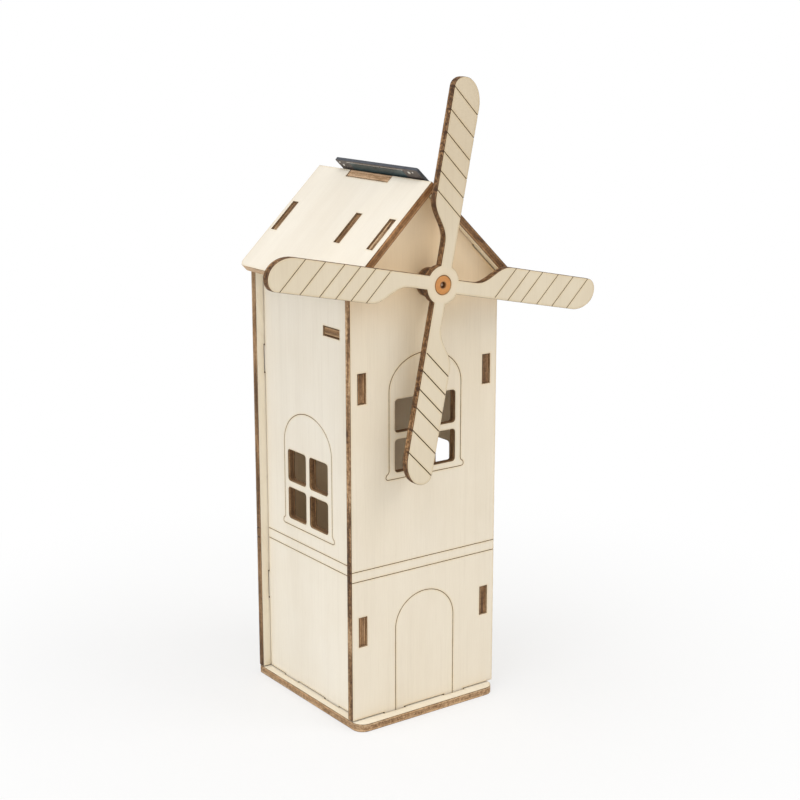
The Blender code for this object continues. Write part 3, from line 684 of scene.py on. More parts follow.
class Flat:
    """A CAD board's plane and outline: p = u x + v y + n z, millimetres."""

    def __init__(self, node, normal, along=UP):
        mesh = NODES[node].data
        hint = Vector(normal).normalized()
        largest, self.n = 0.0, hint
        for poly in mesh.polygons:
            if poly.normal.dot(hint) > 0.9 and poly.area > largest:
                largest, self.n = poly.area, poly.normal.copy()
        self.n = self.n.normalized()
        along = Vector(along)
        self.v = (along - self.n * along.dot(self.n)).normalized()
        self.u = self.v.cross(self.n)
        basis = Matrix((self.u, self.v, self.n))
        points = [basis @ (vert.co / MM) for vert in mesh.vertices]
        self.top = max(p.z for p in points)
        self.bottom = min(p.z for p in points)
        ids, outline, edges = {}, [], set()

        def point_id(i):
            """Merges points that coincide in the plane."""
            key = (round(points[i].x, 3), round(points[i].y, 3))
            if key not in ids:
                ids[key] = len(outline)
                outline.append((points[i].x, points[i].y))
            return ids[key]

        for poly in mesh.polygons:
            if all(abs(points[i].z - self.top) < 0.01 for i in poly.vertices):
                loop = [point_id(i) for i in poly.vertices]
                edges.update(zip(loop, loop[1:] + loop[:1]))
        self.loops = [straighten([outline[i] for i in loop])
                      for loop in boundary_loops(edges)]
        self.loops.sort(key=lambda loop: -abs(area(loop)))

    def world(self, x, y, z):
        return (self.u * x + self.v * y + self.n * z) * MM

    def extent(self):
        """Lowest and highest x, lowest and highest y of the outline."""
        across = [p[0] for p in self.loops[0]]
        along = [p[1] for p in self.loops[0]]
        return min(across), max(across), min(along), max(along)


# ================================================================== boards
PLY_THICK = 3.0
# (depth below the outer face, inset from the CAD outline) down a cut edge
PLY_PROFILE = [
    (0.00, 0.10), (0.04, 0.04), (0.12, 0.01), (0.45, 0.0), (0.72, 0.0),
    (0.80, 0.05), (0.90, 0.0), (1.20, -0.015), (1.50, -0.02), (1.80, -0.015),
    (2.10, 0.0), (2.20, 0.05), (2.28, 0.0), (2.55, 0.0), (2.88, 0.01),
    (2.96, 0.04), (3.00, 0.10)]
SMOKE_WIDTH = 0.9                      # of the tint beside a cut
BURN_REACH = 0.45                      # of the char beside a groove's end
CUT_WAVER = 0.03                       # unevenness of a cut edge
SHALLOWEST = 0.012                     # groove depths below this are flattened
SOOTY_DEPTH = 0.02                     # faces deeper than this are groove
RING_GAP_TOP = 0.015                   # wall rings kept apart below a groove
RING_GAP_BOTTOM = 0.01                 # and above the far face
UV_UNIT = 100                          # millimetres in one unit of UV
BACK_UV_SHIFT = 3.0
# kinds of face, which are also the material slots
FACE_SIDE, OUTER_EDGE, GROOVE, BACK_SIDE, HOLE_EDGE = range(5)


def add_object(name, mesh, body, node=None):
    obj = bpy.data.objects.new(name, mesh)
    bpy.context.scene.collection.objects.link(obj)
    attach(obj, body)
    if node:
        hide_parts(node)


def triangulate_front(loops, lines):
    """Points and triangles of a board's engraved face, without its holes."""
    outlines = Outlines()
    for loop in loops:
        outlines.add_face(loop)
    for loop in loops:
        outlines.add_crease(inset_loop(loop, SMOKE_WIDTH))
    for line in lines:
        for side in ribbon(line.path, line.width + 2 * SMOKE_WIDTH, line.closed):
            outlines.add_crease(side)
    for line in lines:
        for width in (line.width, line.width * 0.4):
            for side in ribbon(line.path, width, line.closed):
                if line.closed:
                    outlines.add_crease(side)
                else:
                    outlines.add_face(side)
    points, triangles, _, owners = outlines.triangulate(1e-5)
    holes = set(range(1, len(loops)))
    kept = [tri for tri, own in zip(triangles, owners)
            if 0 in own and not holes.intersection(own)]
    used = sorted({i for tri in kept for i in tri})
    renumber = {i: k for k, i in enumerate(used)}
    points = np.array([tuple(p) for p in points])[used]
    return points, [[renumber[i] for i in tri] for tri in kept]


class BoardMesh:
    """Gathers the vertices and faces of one board."""

    def __init__(self, flat, levels, lines, seed):
        self.flat, self.levels, self.lines, self.seed = flat, levels, lines, seed
        self.thick = flat.top - flat.bottom
        self.inset = levels[0][1]
        self.verts, self.smoke = [], []
        self.faces, self.kinds, self.uvs = [], [], []

    def add_face(self, ids, kind, uvs):
        self.faces.append(ids)
        self.kinds.append(kind)
        self.uvs.append(uvs)

    def add_front(self, loops):
        """The engraved face; returns the loops of ids around it."""
        points, triangles = triangulate_front(loops, self.lines)
        heights = np.zeros(len(points))
        clear = np.full(len(points), 1e9)
        burn = np.zeros(len(points))
        for loop in loops:
            outline = Line(loop, 0, 0, closed=True)
            clear = np.minimum(clear, outline.reach(points))
        for line in self.lines:
            heights = np.minimum(heights, line.height(points))
            beside = line.reach(points) - line.width / 2
            clear = np.minimum(clear, beside)
            burn = np.maximum(burn, np.clip(1 - beside / BURN_REACH, 0, 1))
        heights[heights > -SHALLOWEST] = 0.0
        self.points, self.heights, self.burn = points, heights, burn
        self.smoke.extend(np.clip(1 - clear / SMOKE_WIDTH, 0, 1) ** 1.3)
        for (x, y), height in zip(points, heights):
            self.verts.append(self.flat.world(x, y, self.flat.top + height))
        edges = set()
        for tri in triangles:
            if clockwise(*(points[i] for i in tri)):
                tri.reverse()
            centre = (points[tri[0]] + points[tri[1]] + points[tri[2]]) / 3
            sooty = min(heights[i] for i in tri) < -SOOTY_DEPTH and any(
                line.reach(centre[None])[0] < line.width * 0.52
                for line in self.lines)
            self.add_face(tuple(tri), GROOVE if sooty else FACE_SIDE,
                          [(points[i][0] / UV_UNIT, points[i][1] / UV_UNIT)
                           for i in tri])
            edges.update(zip(tri, tri[1:] + tri[:1]))
        return boundary_loops(edges)

    def add_wall(self, loop):
        """The cut edge below a loop; returns its last ring, ids and points."""
        outline = [tuple(self.points[i]) for i in loop]
        kind = OUTER_EDGE if area(outline) > 0 else HOLE_EDGE
        normals = inward(outline)
        count = len(loop)
        run = [0.0]
        for i in range(count):
            a, b = outline[i], outline[(i + 1) % count]
            run.append(run[-1] + math.hypot(b[0] - a[0], b[1] - a[1]))
        previous, previous_depth = loop, 0.0
        last_level = len(self.levels) - 1
        for k, (depth, inset) in enumerate(self.levels[1:], 1):
            ring = []
            for i, (x, y) in enumerate(outline):
                waver = 0.0
                if k < last_level:
                    waver = CUT_WAVER * noise.noise(Vector((
                        x * 0.45, y * 0.45, depth * 1.9 + self.seed * 11.3)))
                out = self.inset - inset - waver
                sunk = max(depth, -self.heights[loop[i]] + RING_GAP_TOP * k)
                sunk = min(sunk, self.thick - RING_GAP_BOTTOM * (last_level - k))
                ring.append(len(self.verts))
                self.verts.append(self.flat.world(
                    x - normals[i][0] * out, y - normals[i][1] * out,
                    self.flat.top - sunk))
                self.smoke.append(self.burn[loop[i]]
                                  * (1 - 0.45 * depth / self.thick))
            v0, v1 = previous_depth / self.thick, depth / self.thick
            for i in range(count):
                j = (i + 1) % count
                u0, u1 = run[i] / UV_UNIT, run[i + 1] / UV_UNIT
                self.add_face((previous[i], ring[i], ring[j], previous[j]), kind,
                              [(u0, v0), (u0, v1), (u1, v1), (u1, v0)])
            previous, previous_depth = ring, depth
        out = self.inset - self.levels[-1][1]
        return previous, [(x - normals[i][0] * out, y - normals[i][1] * out)
                          for i, (x, y) in enumerate(outline)]

    def add_back(self, rims):
        """The far face, between the last rings of the walls."""
        rims.sort(key=lambda rim: -abs(area(rim[1])))
        outlines, index = Outlines(), []
        for ids, rim_points in rims:
            outlines.add_face(rim_points)
            index.extend(ids)
        points, triangles, sources, owners = outlines.triangulate(1e-6)
        for tri, own in zip(triangles, owners):
            if 0 not in own or len(own) > 1 or not all(sources[i] for i in tri):
                continue
            corners = [(index[sources[i][0]], tuple(points[i])) for i in tri]
            (_, a), (_, b), (_, c) = corners
            if clockwise(a, c, b):
                corners.reverse()
            self.add_face(tuple(i for i, _ in corners), BACK_SIDE,
                          [(p[0] / UV_UNIT + BACK_UV_SHIFT, p[1] / UV_UNIT)
                           for _, p in corners])


def board(name, node, normal, face, edge, along=UP, groove=None, lines=(),
          seed=1, step=1.5, back=None, body="house", slot="plywood",
          profile=None, cut=None):
    """A sheet built from the CAD board's outline, standing for that node.
    cut is the material of the walls of holes, back that of the far face."""
    flat = Flat(node, normal, along)
    levels = profile or [(depth * (flat.top - flat.bottom) / PLY_THICK, inset)
                         for depth, inset in PLY_PROFILE]
    loops = [inset_loop(resample(loop, step), levels[0][1])
             for loop in flat.loops]
    parts = BoardMesh(flat, levels, lines, seed)
    rims = [parts.add_wall(loop) for loop in parts.add_front(loops)]
    parts.add_back(rims)

    mesh = bpy.data.meshes.new(name)
    mesh.from_pydata([tuple(v) for v in parts.verts], [], parts.faces)
    mesh.uv_layers.new(name="UVMap").data.foreach_set(
        "uv", [value for uvs in parts.uvs for point in uvs for value in point])
    mesh.polygons.foreach_set(
        "material_index", [FACE_SIDE if kind == BACK_SIDE and not back else kind
                           for kind in parts.kinds])
    mesh.polygons.foreach_set(
        "use_smooth", [kind in (OUTER_EDGE, HOLE_EDGE) for kind in parts.kinds])
    mesh.set_sharp_from_angle(angle=math.radians(38))
    smoke = mesh.attributes.new("smoke", "FLOAT", "POINT")
    smoke.data.foreach_set("value", parts.smoke)
    for material in (face, edge, groove or edge, back or face, cut or edge):
        mesh.materials.append(material)
    mesh.update()
    add_object(name, mesh, body, node)


# ========================================================== engraved lines
FINE_WIDTH, FINE_DEPTH = 0.29, 0.28
BELT_HEIGHTS, BELT_DEPTH, BELT_REACH = (61.3, 57.4), 0.30, 40.0
WINDOW_HALF = 16.3
WINDOW_SPRING = 32.7                   # start of the arch above the sill
FRONT_SILL_Z, SIDE_SILL_Z = 93.6, 66.8
FRONT_ARCH_RISE, SIDE_ARCH_RISE = 13.1, 13.3
SIDE_WINDOW_Y = FRONT_Y + 33.9
# the moulded sill: heights above its lowest line, reaches past the window
SILL_TOP, SILL_NECK, SILL_LIP_HEIGHT = 3.5, 2.3, 1.9
SILL_LIP, SILL_BULGE, SILL_FOOT_INSET = 1.1, 2.1, 0.2
DOOR_HALF, DOOR_SPRING_Z, DOOR_RISE = 13.45, 35.5, 12.4


def curve(start, control, end, count):
    """Quadratic Bezier points, without the last."""
    out = []
    for i in range(count):
        t = i / count
        out.append(tuple(start[k] * (1 - t) ** 2 + 2 * control[k] * t * (1 - t)
                         + end[k] * t * t for k in (0, 1)))
    return out


def half_ellipse(centre, half, spring, rise, count):
    angles = [math.pi * i / count for i in range(count + 1)]
    return [(centre + half * math.cos(a), spring + rise * math.sin(a))
            for a in angles]


def window(centre, sill, rise):
    """An arched window with a moulded sill; sill is its lowest line."""
    left, right = centre - WINDOW_HALF, centre + WINDOW_HALF
    top, neck, lip_z = sill + SILL_TOP, sill + SILL_NECK, sill + SILL_LIP_HEIGHT
    left_lip, right_lip = (left - SILL_LIP, lip_z), (right + SILL_LIP, lip_z)
    left_foot = (left + SILL_FOOT_INSET, sill)
    right_foot = (right - SILL_FOOT_INSET, sill)
    path = curve((left, top), (left, neck), left_lip, 5)
    path += curve(left_lip, (left - SILL_BULGE, sill), left_foot, 7)
    path.append(left_foot)
    path += curve(right_foot, (right + SILL_BULGE, sill), right_lip, 7)
    path += curve(right_lip, (right, neck), (right, top), 5)
    path.append((right, top))
    path += half_ellipse(centre, WINDOW_HALF, sill + WINDOW_SPRING, rise, 44)
    return Line(path, FINE_WIDTH, FINE_DEPTH, closed=True)


def door():
    foot_z = BASE_TOP - 1
    path = [(DOOR_HALF, foot_z),
            *half_ellipse(0.0, DOOR_HALF, DOOR_SPRING_Z, DOOR_RISE, 40),
            (-DOOR_HALF, foot_z)]
    return Line(path, FINE_WIDTH, FINE_DEPTH)


BELTS = [Line([(-BELT_REACH, z), (BELT_REACH, z)], FINE_WIDTH, BELT_DEPTH)
         for z in BELT_HEIGHTS]
END_WINDOW = window(0.0, FRONT_SILL_Z, FRONT_ARCH_RISE)

ROTOR_TILT = math.radians(11.7)
BLADE_LINE_DEPTH = 0.38
BLADE_LINE_SLOPE = 0.674
BLADE_LINE_ENDS = (-11.5, 4.2)         # across the blade, from its axis
# each blade: line width, how much of the innermost line is kept so that it
# stops on the blade's shoulder, and where the lines cross the blade's axis
BLADES = (
    (0.30, 0.97, (26.1, 32.8, 39.5, 46.1, 54.1, 62.0)),       # up
    (0.27, 0.86, (25.9, 32.4, 38.8, 46.6, 54.2, 61.7)),       # right
    (0.38, 0.86, (26.0, 32.7, 39.4, 46.1, 54.3, 62.5)),       # down
    (0.27, 0.86, (25.3, 31.8, 38.2, 44.8, 52.7, 60.7)))       # left


def blade_engraving():
    lines = []
    for k, (width, kept, marks) in enumerate(BLADES):
        turn = -ROTOR_TILT - k * math.pi / 2
        cos, sin = math.cos(turn), math.sin(turn)
        for mark in marks:
            ends = []
            for across in BLADE_LINE_ENDS:
                along = mark - BLADE_LINE_SLOPE * across
                ends.append((across * cos - along * sin,
                             HUB_Z + across * sin + along * cos))
            if mark == marks[0]:
                start, end = Vector(ends[0]), Vector(ends[1])
                ends[1] = tuple(start + (end - start) * kept)
            lines.append(Line(ends, width, BLADE_LINE_DEPTH))
    return lines


# ========================================================== plywood pieces
CREAM = (0.905, 0.835, 0.700)
WARM_PAINTED_LIGHT = (1.04, 0.945, 0.855)           # painted warm light for the back panel's inside, between the walls


def cream(level, green=1.0, blue=1.0):
    return (CREAM[0] * level, CREAM[1] * level * green, CREAM[2] * level * blue)


# inside faces: cream brightened and warmed, painted light standing in for the light inside
# the house
INTERIOR_PAINTED_LIGHT = cream(1.10, green=0.945, blue=0.885)
ENGRAVING = burnt("engraving", seed=1, darkness=1.0)
BLADE_ENGRAVING = burnt("engraving_blades", seed=2, darkness=1.75)


def ply_board(node, tag, seed, normal, face, edge, inner=None, cut=None,
              groove=ENGRAVING, **options):
    """A plywood board; face, edge, inner and cut are material settings."""
    made = {kind: build(f"ply_{tag}_{kind}", **{"seed": seed, **settings})
            for kind, build, settings in (
                ("face", ply_face, face), ("edge", ply_edge, edge),
                ("inner", ply_face, inner), ("cut", ply_edge, cut)) if settings}
    board(f"{node}_ply", node, normal, made["face"], made["edge"],
          back=made.get("inner"), cut=made.get("cut"), groove=groove, seed=seed,
          **options)


ply_board(
    "front_panel", "front", 1, FRONT,
    face=dict(colour=cream(0.955, green=0.985, blue=0.975),
              # painted shade: the upper front darker and warmer, the gable under the roof
              # darker and warmer still; painted light lifts the rotor's shadow near the
              # hub
              shades=[("Z", 70.0, 140.0, (0.985, 0.965, 0.93)),
                      ("Z", 142.0, 170.0, (1.025, 0.93, 0.82)),
                      ("R", 30.0, 9.0, (1.055, 1.04, 0.995))]),
    edge=dict(bias=-0.22, zones=[("Z", 60.0, 110.0, 0.20)], vary=1.5, line=0.75,
              fleck=1.6),
    inner=dict(colour=INTERIOR_PAINTED_LIGHT, seed=31),
    cut=dict(seed=41, bias=-0.12, zones=[("X", -21.0, -22.0, 0.35),
                                         ("X", 21.0, 22.0, 0.35)]),
    lines=BELTS + [END_WINDOW, door()])
BACK_CREAM = cream(0.98, green=0.985, blue=0.95)
ply_board(
    "back_panel", "back", 2, BACK,
    face=dict(colour=BACK_CREAM),
    edge=dict(bias=-0.22, zones=[("Z", 110.0, 135.0, 0.22)], warm=0.35),
    inner=dict(colour=BACK_CREAM, seed=32,
               # painted warm light on the inside, between the walls
               shades=[("X", -28.6, -27.2, WARM_PAINTED_LIGHT, 27.2, 28.6)]),
    cut=dict(seed=42, bias=-0.10),
    lines=BELTS + [END_WINDOW])
# a left wall's own x runs towards the front, a right wall's towards the back
ply_board(
    "left_wall", "left", 3, LEFT,
    face=dict(colour=cream(1.02, green=1.01, blue=1.04),
              # painted shade darkening the wall towards the eave, and painted light
              # brightening its foot as from the floor
              shades=[("Z", 30.0, 160.0, (0.90, 0.90, 0.905)),
                      ("Z", 45.0, 12.0, (1.01, 1.02, 1.035))]),
    edge=dict(bias=-0.14),
    inner=dict(colour=INTERIOR_PAINTED_LIGHT, seed=33),
    cut=dict(seed=43),
    lines=BELTS + [window(-SIDE_WINDOW_Y, SIDE_SILL_Z, SIDE_ARCH_RISE)])
ply_board(
    "right_wall", "right", 4, RIGHT,
    face=dict(colour=cream(0.98)),
    edge=dict(bias=-0.20),
    inner=dict(colour=INTERIOR_PAINTED_LIGHT, seed=34),
    cut=dict(seed=44, bias=-0.05),
    lines=BELTS + [window(SIDE_WINDOW_Y, SIDE_SILL_Z, SIDE_ARCH_RISE)])
ply_board(
    "left_roof", "roof_left", 5, LEFT_SLOPE,
    face=dict(colour=cream(1.05, green=1.01, blue=1.05), figure=0.45,
              # painted shade darker towards the ridge, and painted light brighter near the
              # front
              shades=[("Z", ROOF_LOW, ROOF_HIGH, (0.955, 0.955, 0.955)),
                      ("Y", FRONT_Y + 34, FRONT_Y + 12, (1.055, 1.06, 1.065))]),
    edge=dict(bias=-0.04, warm=0.7,
              zones=[("Z", ROOF_LOW + 3.5, ROOF_LOW + 2.0, 0.50)],
              tints=[("Z", ROOF_LOW + 3.5, ROOF_LOW + 2.0, (0.97, 1.06, 1.24)),
                     ("Z", ROOF_LOW + 3.0, ROOF_LOW + 5.0, (1.07, 0.96, 0.86))]),
    cut=dict(seed=45))
ply_board(
    "right_roof", "roof_right", 6, RIGHT_SLOPE,
    face=dict(colour=cream(1.0, blue=0.99)),
    edge=dict(bias=-0.20, warm=0.9, coarse=1.4,
              zones=[("Z", ROOF_HIGH - 5.0, ROOF_HIGH - 3.0, 0.54)],
              tints=[("Z", ROOF_HIGH - 5.0, ROOF_HIGH - 3.0, (1.0, 1.06, 1.22))]),
    inner=dict(colour=cream(1.03, green=0.965, blue=0.87), seed=36),
    cut=dict(seed=46))
ply_board(
    "base_plate", "base", 7, UP, along=BACK,
    face=dict(colour=cream(1.0)),
    edge=dict(bias=0.21, vary=0.7, warm=0.4, line=0.8, coarse=2.6, fleck=1.5),
    cut=dict(seed=47, bias=-0.1))
ply_board(
    "motor_shelf", "shelf", 8, UP, along=BACK,
    face=dict(colour=cream(0.95)),
    edge=dict(bias=-0.04, vary=0.7, warm=0.2))
ply_board(
    "motor_bulkhead", "bulkhead", 9, FRONT,
    face=dict(colour=cream(0.95)),
    edge=dict(bias=-0.1))
ply_board(
    "rotor_blades", "rotor", 10, FRONT, body="rotor",
    face=dict(colour=cream(0.85, green=0.950, blue=0.870),
              shades=[("Z", HUB_Z + 4, HUB_Z + 45, (0.90, 0.87, 0.83))],
              ring=(3.6, 6.4, rgb(232, 214, 186))),
    edge=dict(bias=-0.36, warm=1.0, vary=1.2, coarse=2.4, line=0.75, fleck=2.1,
              zones=[("R", 28.0, 50.0, 0.22), ("R", 52.0, 68.0, -0.16)]),
    cut=dict(seed=48, bias=0.30, line=0.3),
    groove=BLADE_ENGRAVING, lines=blade_engraving())
for seed, end in ((11, "front"), (12, "rear")):
    ply_board(
        f"rotor_spacer_{end}", f"spacer_{end}", seed, FRONT, body="rotor",
        step=0.8, face=dict(colour=cream(0.9)), edge=dict(bias=-0.50))


# ====================================================== turned small pieces
def finish_mesh(name, bm, material):
    mesh = bpy.data.meshes.new(name)
    bm.to_mesh(mesh)
    bm.free()
    mesh.materials.append(material)
    return mesh


def revolve(node, profile, material, body, segments=72):
    """Closed profile of (y, radius) points turned about the shaft's axis."""
    name = f"{node}_turned"
    bm = bmesh.new()
    rings = []
    for k in range(segments):
        angle = 2 * math.pi * k / segments
        rings.append([bm.verts.new((r * math.cos(angle) * MM, y * MM,
                                    (HUB_Z + r * math.sin(angle)) * MM))
                      for y, r in profile])
    for k in range(segments):
        ring, following = rings[k], rings[(k + 1) % segments]
        for i in range(len(profile)):
            j = (i + 1) % len(profile)
            bm.faces.new((ring[i], ring[j], following[j], following[i]))
    bmesh.ops.remove_doubles(bm, verts=bm.verts, dist=1e-7)
    bmesh.ops.recalc_face_normals(bm, faces=bm.faces)
    mesh = finish_mesh(name, bm, material)
    mesh.shade_smooth()
    mesh.set_sharp_from_angle(angle=math.radians(50))
    add_object(name, mesh, body, node)


def arc(centre_x, centre_y, radius, start, end, steps=5):
    """Points of an arc between two angles in degrees."""
    angles = [math.radians(start + (end - start) * i / steps)
              for i in range(steps + 1)]
    return [(centre_x + radius * math.cos(a), centre_y + radius * math.sin(a))
            for a in angles]


def sleeve(node, bore, radius, fillet):
    """A tube's section with rounded outer corners and broken inner ones."""
    front, rear = low(node).y, high(node).y
    return (arc(front + fillet, radius - fillet, fillet, 180, 90)
            + arc(rear - fillet, radius - fillet, fillet, 90, 0)
            + [(rear, bore + fillet * 0.6), (rear - fillet * 0.6, bore),
               (front + fillet * 0.6, bore), (front, bore + fillet * 0.6)])


BUSH_RADIUS, BUSH_BORE = 3.40, 1.06
BUSH_FRONT_FILLET, BUSH_REAR_FILLET = 0.12, 0.25


def bush_profile():
    front, rear = low("hub_bush").y, high("hub_bush").y
    return (arc(front + BUSH_FRONT_FILLET, BUSH_RADIUS - BUSH_FRONT_FILLET,
                BUSH_FRONT_FILLET, 180, 90)
            + arc(rear - BUSH_REAR_FILLET, BUSH_RADIUS - BUSH_REAR_FILLET,
                  BUSH_REAR_FILLET, 90, 0)
            + [(rear, 1.25), (rear - 0.15, BUSH_BORE),
               (front + 0.35, BUSH_BORE), (front + 0.08, 1.10), (front, 1.20)])


SHAFT_RADIUS, SHAFT_REAR_FILLET = 1.0, 0.3
# (distance from the shaft's front end, radius) of its domed tip
SHAFT_TIP = ((0.0, 0.0), (0.04, 0.30), (0.16, 0.58), (0.38, 0.80), (0.70, 0.95),
             (1.1, SHAFT_RADIUS))


def shaft_profile():
    front, rear = low("motor_shaft").y, high("motor_shaft").y
    return ([(front + y, radius) for y, radius in SHAFT_TIP]
            + arc(rear - SHAFT_REAR_FILLET, SHAFT_RADIUS - SHAFT_REAR_FILLET,
                  SHAFT_REAR_FILLET, 90, 0)
            + [(rear, 0.0)])


revolve("hub_bush", bush_profile(),
        plastic("bush_amber", rgb(206, 140, 74), seed=1, rough=0.42,
                spread=0.10, turned=True, subsurface=0.03),
        "rotor")
revolve("motor_shaft", shaft_profile(),
        metal("shaft_ground_steel", (0.40, 0.27, 0.19), seed=1, rough=0.30,
              brush=(6, 0.3, 6)), "rotor", segments=48)
for end in ("front", "rear"):
    revolve(f"{end}_bearing",
            sleeve(f"{end}_bearing", bore=1.07, radius=2.95, fillet=0.3),
            metal(f"sintered_bronze_{end}", (0.60, 0.43, 0.24), seed=3,
                  rough=0.45, brush=(3, 3, 3), tarnish=0.4), "house")
revolve("commutator", sleeve("commutator", bore=1.1, radius=2.4, fillet=0.2),
        metal("commutator_copper", (0.80, 0.45, 0.28), seed=4, rough=0.25,
              brush=(7, 0.5, 7)), "rotor")


# ==================================================== other pieces, remade
def remake(node, suffix, material, body, bevel=0.15, segments=2,
           smooth=40.0):
    """The node's shape with its edges rounded and coplanar faces joined."""
    name = f"{node}_{suffix}"
    bm = bmesh.new()
    bm.from_mesh(NODES[node].data)
    bmesh.ops.remove_doubles(bm, verts=bm.verts, dist=2e-6)
    bmesh.ops.dissolve_limit(bm, angle_limit=math.radians(0.5), verts=bm.verts,
                             edges=bm.edges, delimit=set())
    if bevel > 0:
        sharp = [e for e in bm.edges if len(e.link_faces) == 2
                 and e.calc_face_angle(0) > math.radians(32.0)]
        bmesh.ops.bevel(bm, geom=sharp, offset=bevel * MM, segments=segments,
                        affect="EDGES", profile=0.5, clamp_overlap=True)
    bmesh.ops.recalc_face_normals(bm, faces=bm.faces)
    mesh = finish_mesh(name, bm, material)
    mesh.polygons.foreach_set("material_index", [0] * len(mesh.polygons))
    mesh.shade_smooth()
    mesh.set_sharp_from_angle(angle=math.radians(smooth))
    add_object(name, mesh, body, node)


remake("motor_can", "drawn",
       metal("can_nickel", (0.66, 0.66, 0.64), seed=5, brush=(3, 0.3, 3)),
       "house", bevel=0.25, segments=3)
remake("motor_end_cap", "moulded",
       plastic("cap_nylon", (0.80, 0.79, 0.74), seed=6, rough=0.5, spread=0.06),
       "house", bevel=0.3, segments=3)
for side in ("left", "right"):
    remake(f"terminal_{side}", "cut",
           metal(f"terminal_brass_{side}", (0.78, 0.60, 0.30), seed=7,
                 brush=(5, 0.4, 5)), "house", bevel=0.06)
    remake(f"brush_{side}", "cut",
           metal(f"brush_copper_{side}", (0.80, 0.48, 0.30), seed=8),
           "house", bevel=0.03)
    remake(f"magnet_{side}", "cut",
           plastic(f"ferrite_{side}", (0.055, 0.055, 0.06), seed=9, rough=0.6,
                   spread=0.3), "house", bevel=0.2)
remake("armature_core", "stack",
       metal("core_laminations", (0.42, 0.42, 0.43), seed=10, rough=0.45,
             brush=(0.4, 9, 0.4), tarnish=0.4),
       "rotor", bevel=0.05, segments=1)
for i in (1, 2, 3):
    remake(f"coil_{i}", "wound",
           metal(f"coil_enamel_{i}", (0.66, 0.27, 0.11), seed=10 + i, rough=0.28,
                 brush=(5, 0.5, 5), tarnish=0.1),
           "rotor", bevel=0.3, segments=3)
for tag, colour in (("red", rgb(196, 34, 26)), ("black", rgb(32, 32, 34))):
    remake(f"wire_{tag}", "sleeve",
           plastic(f"pvc_{tag}", colour, seed=14, rough=0.38, scale=0.5),
           "house", bevel=0.0, smooth=60)
for end in ("front", "rear"):
    remake(f"foam_tape_{end}", "pad", foam(f"foam_{end}"), "house",
           bevel=0.12)

# ============================================================= solar panel
# In the panel's plane x runs towards the back and y up the slope.
solar = Flat("solar_backing", RIGHT_SLOPE)
PANEL_FRONT, PANEL_REAR, PANEL_LOW, PANEL_RIDGE = solar.extent()
UNDERSIDE = solar.bottom
# (depth, inset) down the side of the circuit board
BOARD_PROFILE = [(0.0, 0.12), (0.04, 0.03), (0.14, 0.0), (0.4, 0.0), (0.6, 0.02),
                 (0.8, 0.0), (1.06, 0.0), (1.16, 0.03), (1.2, 0.12)]
board("solar_board_sheet", "solar_backing", RIGHT_SLOPE,
      face=circuit_board("board_top", rgb(40, 46, 54), seed=1),
      edge=circuit_board("board_side", rgb(74, 78, 86), seed=2, gloss=0.5),
      back=circuit_board("board_under", rgb(92, 84, 80), seed=3, gloss=0.5),
      seed=21, slot="solar_board", profile=BOARD_PROFILE)


def rounded_rectangle(x0, x1, y0, y1, radius):
    points = []
    for x, y, start in ((x1 - radius, y0 + radius, -90),
                        (x1 - radius, y1 - radius, 0),
                        (x0 + radius, y1 - radius, 90),
                        (x0 + radius, y0 + radius, 180)):
        points += arc(x, y, radius, start, start + 90)
    return points


def rectangle(x0, x1, y0, y1):
    return [(x0, y0), (x1, y0), (x1, y1), (x0, y1)]


def slab(name, outlines, bottom, top, material, chamfer):
    """Thin plates in the solar panel's plane, with chamfered edges."""
    bm = bmesh.new()
    chamfer = min(chamfer, abs(top - bottom) * 0.45)
    for outline in outlines:
        normals = inward(outline)
        rings = []
        for z, inset in ((bottom, chamfer), (bottom + chamfer, 0.0),
                         (top - chamfer, 0.0), (top, chamfer)):
            rings.append([bm.verts.new(solar.world(p[0] + n[0] * inset,
                                                   p[1] + n[1] * inset, z))
                          for p, n in zip(outline, normals)])
        bm.faces.new(rings[0][::-1])
        bm.faces.new(rings[-1])
        for lower, upper in zip(rings, rings[1:]):
            for i in range(len(outline)):
                j = (i + 1) % len(outline)
                bm.faces.new((lower[i], lower[j], upper[j], upper[i]))
    add_object(name, finish_mesh(name, bm, material), "house")


def domes(name, spots, material, around=20, levels=5):
    """Low domes under the board: (x, y, radius, height) each."""
    bm = bmesh.new()
    base = UNDERSIDE - 0.005
    for x, y, radius, height in spots:
        rings = []
        for k in range(levels):
            rise = k / levels * math.pi / 2
            rings.append([bm.verts.new(solar.world(
                x + radius * math.cos(rise) * math.cos(2 * math.pi * i / around),
                y + radius * math.cos(rise) * math.sin(2 * math.pi * i / around),
                base - height * math.sin(rise))) for i in range(around)])
        tip = bm.verts.new(solar.world(x, y, base - height))
        bm.faces.new(rings[0])
        for ring, following in zip(rings, rings[1:]):
            for i in range(around):
                j = (i + 1) % around
                bm.faces.new((ring[i], following[i], following[j], ring[j]))
        for i in range(around):
            bm.faces.new((rings[-1][i], tip, rings[-1][(i + 1) % around]))
    bmesh.ops.recalc_face_normals(bm, faces=bm.faces)
    mesh = finish_mesh(name, bm, material)
    mesh.shade_smooth()
    add_object(name, mesh, "house")


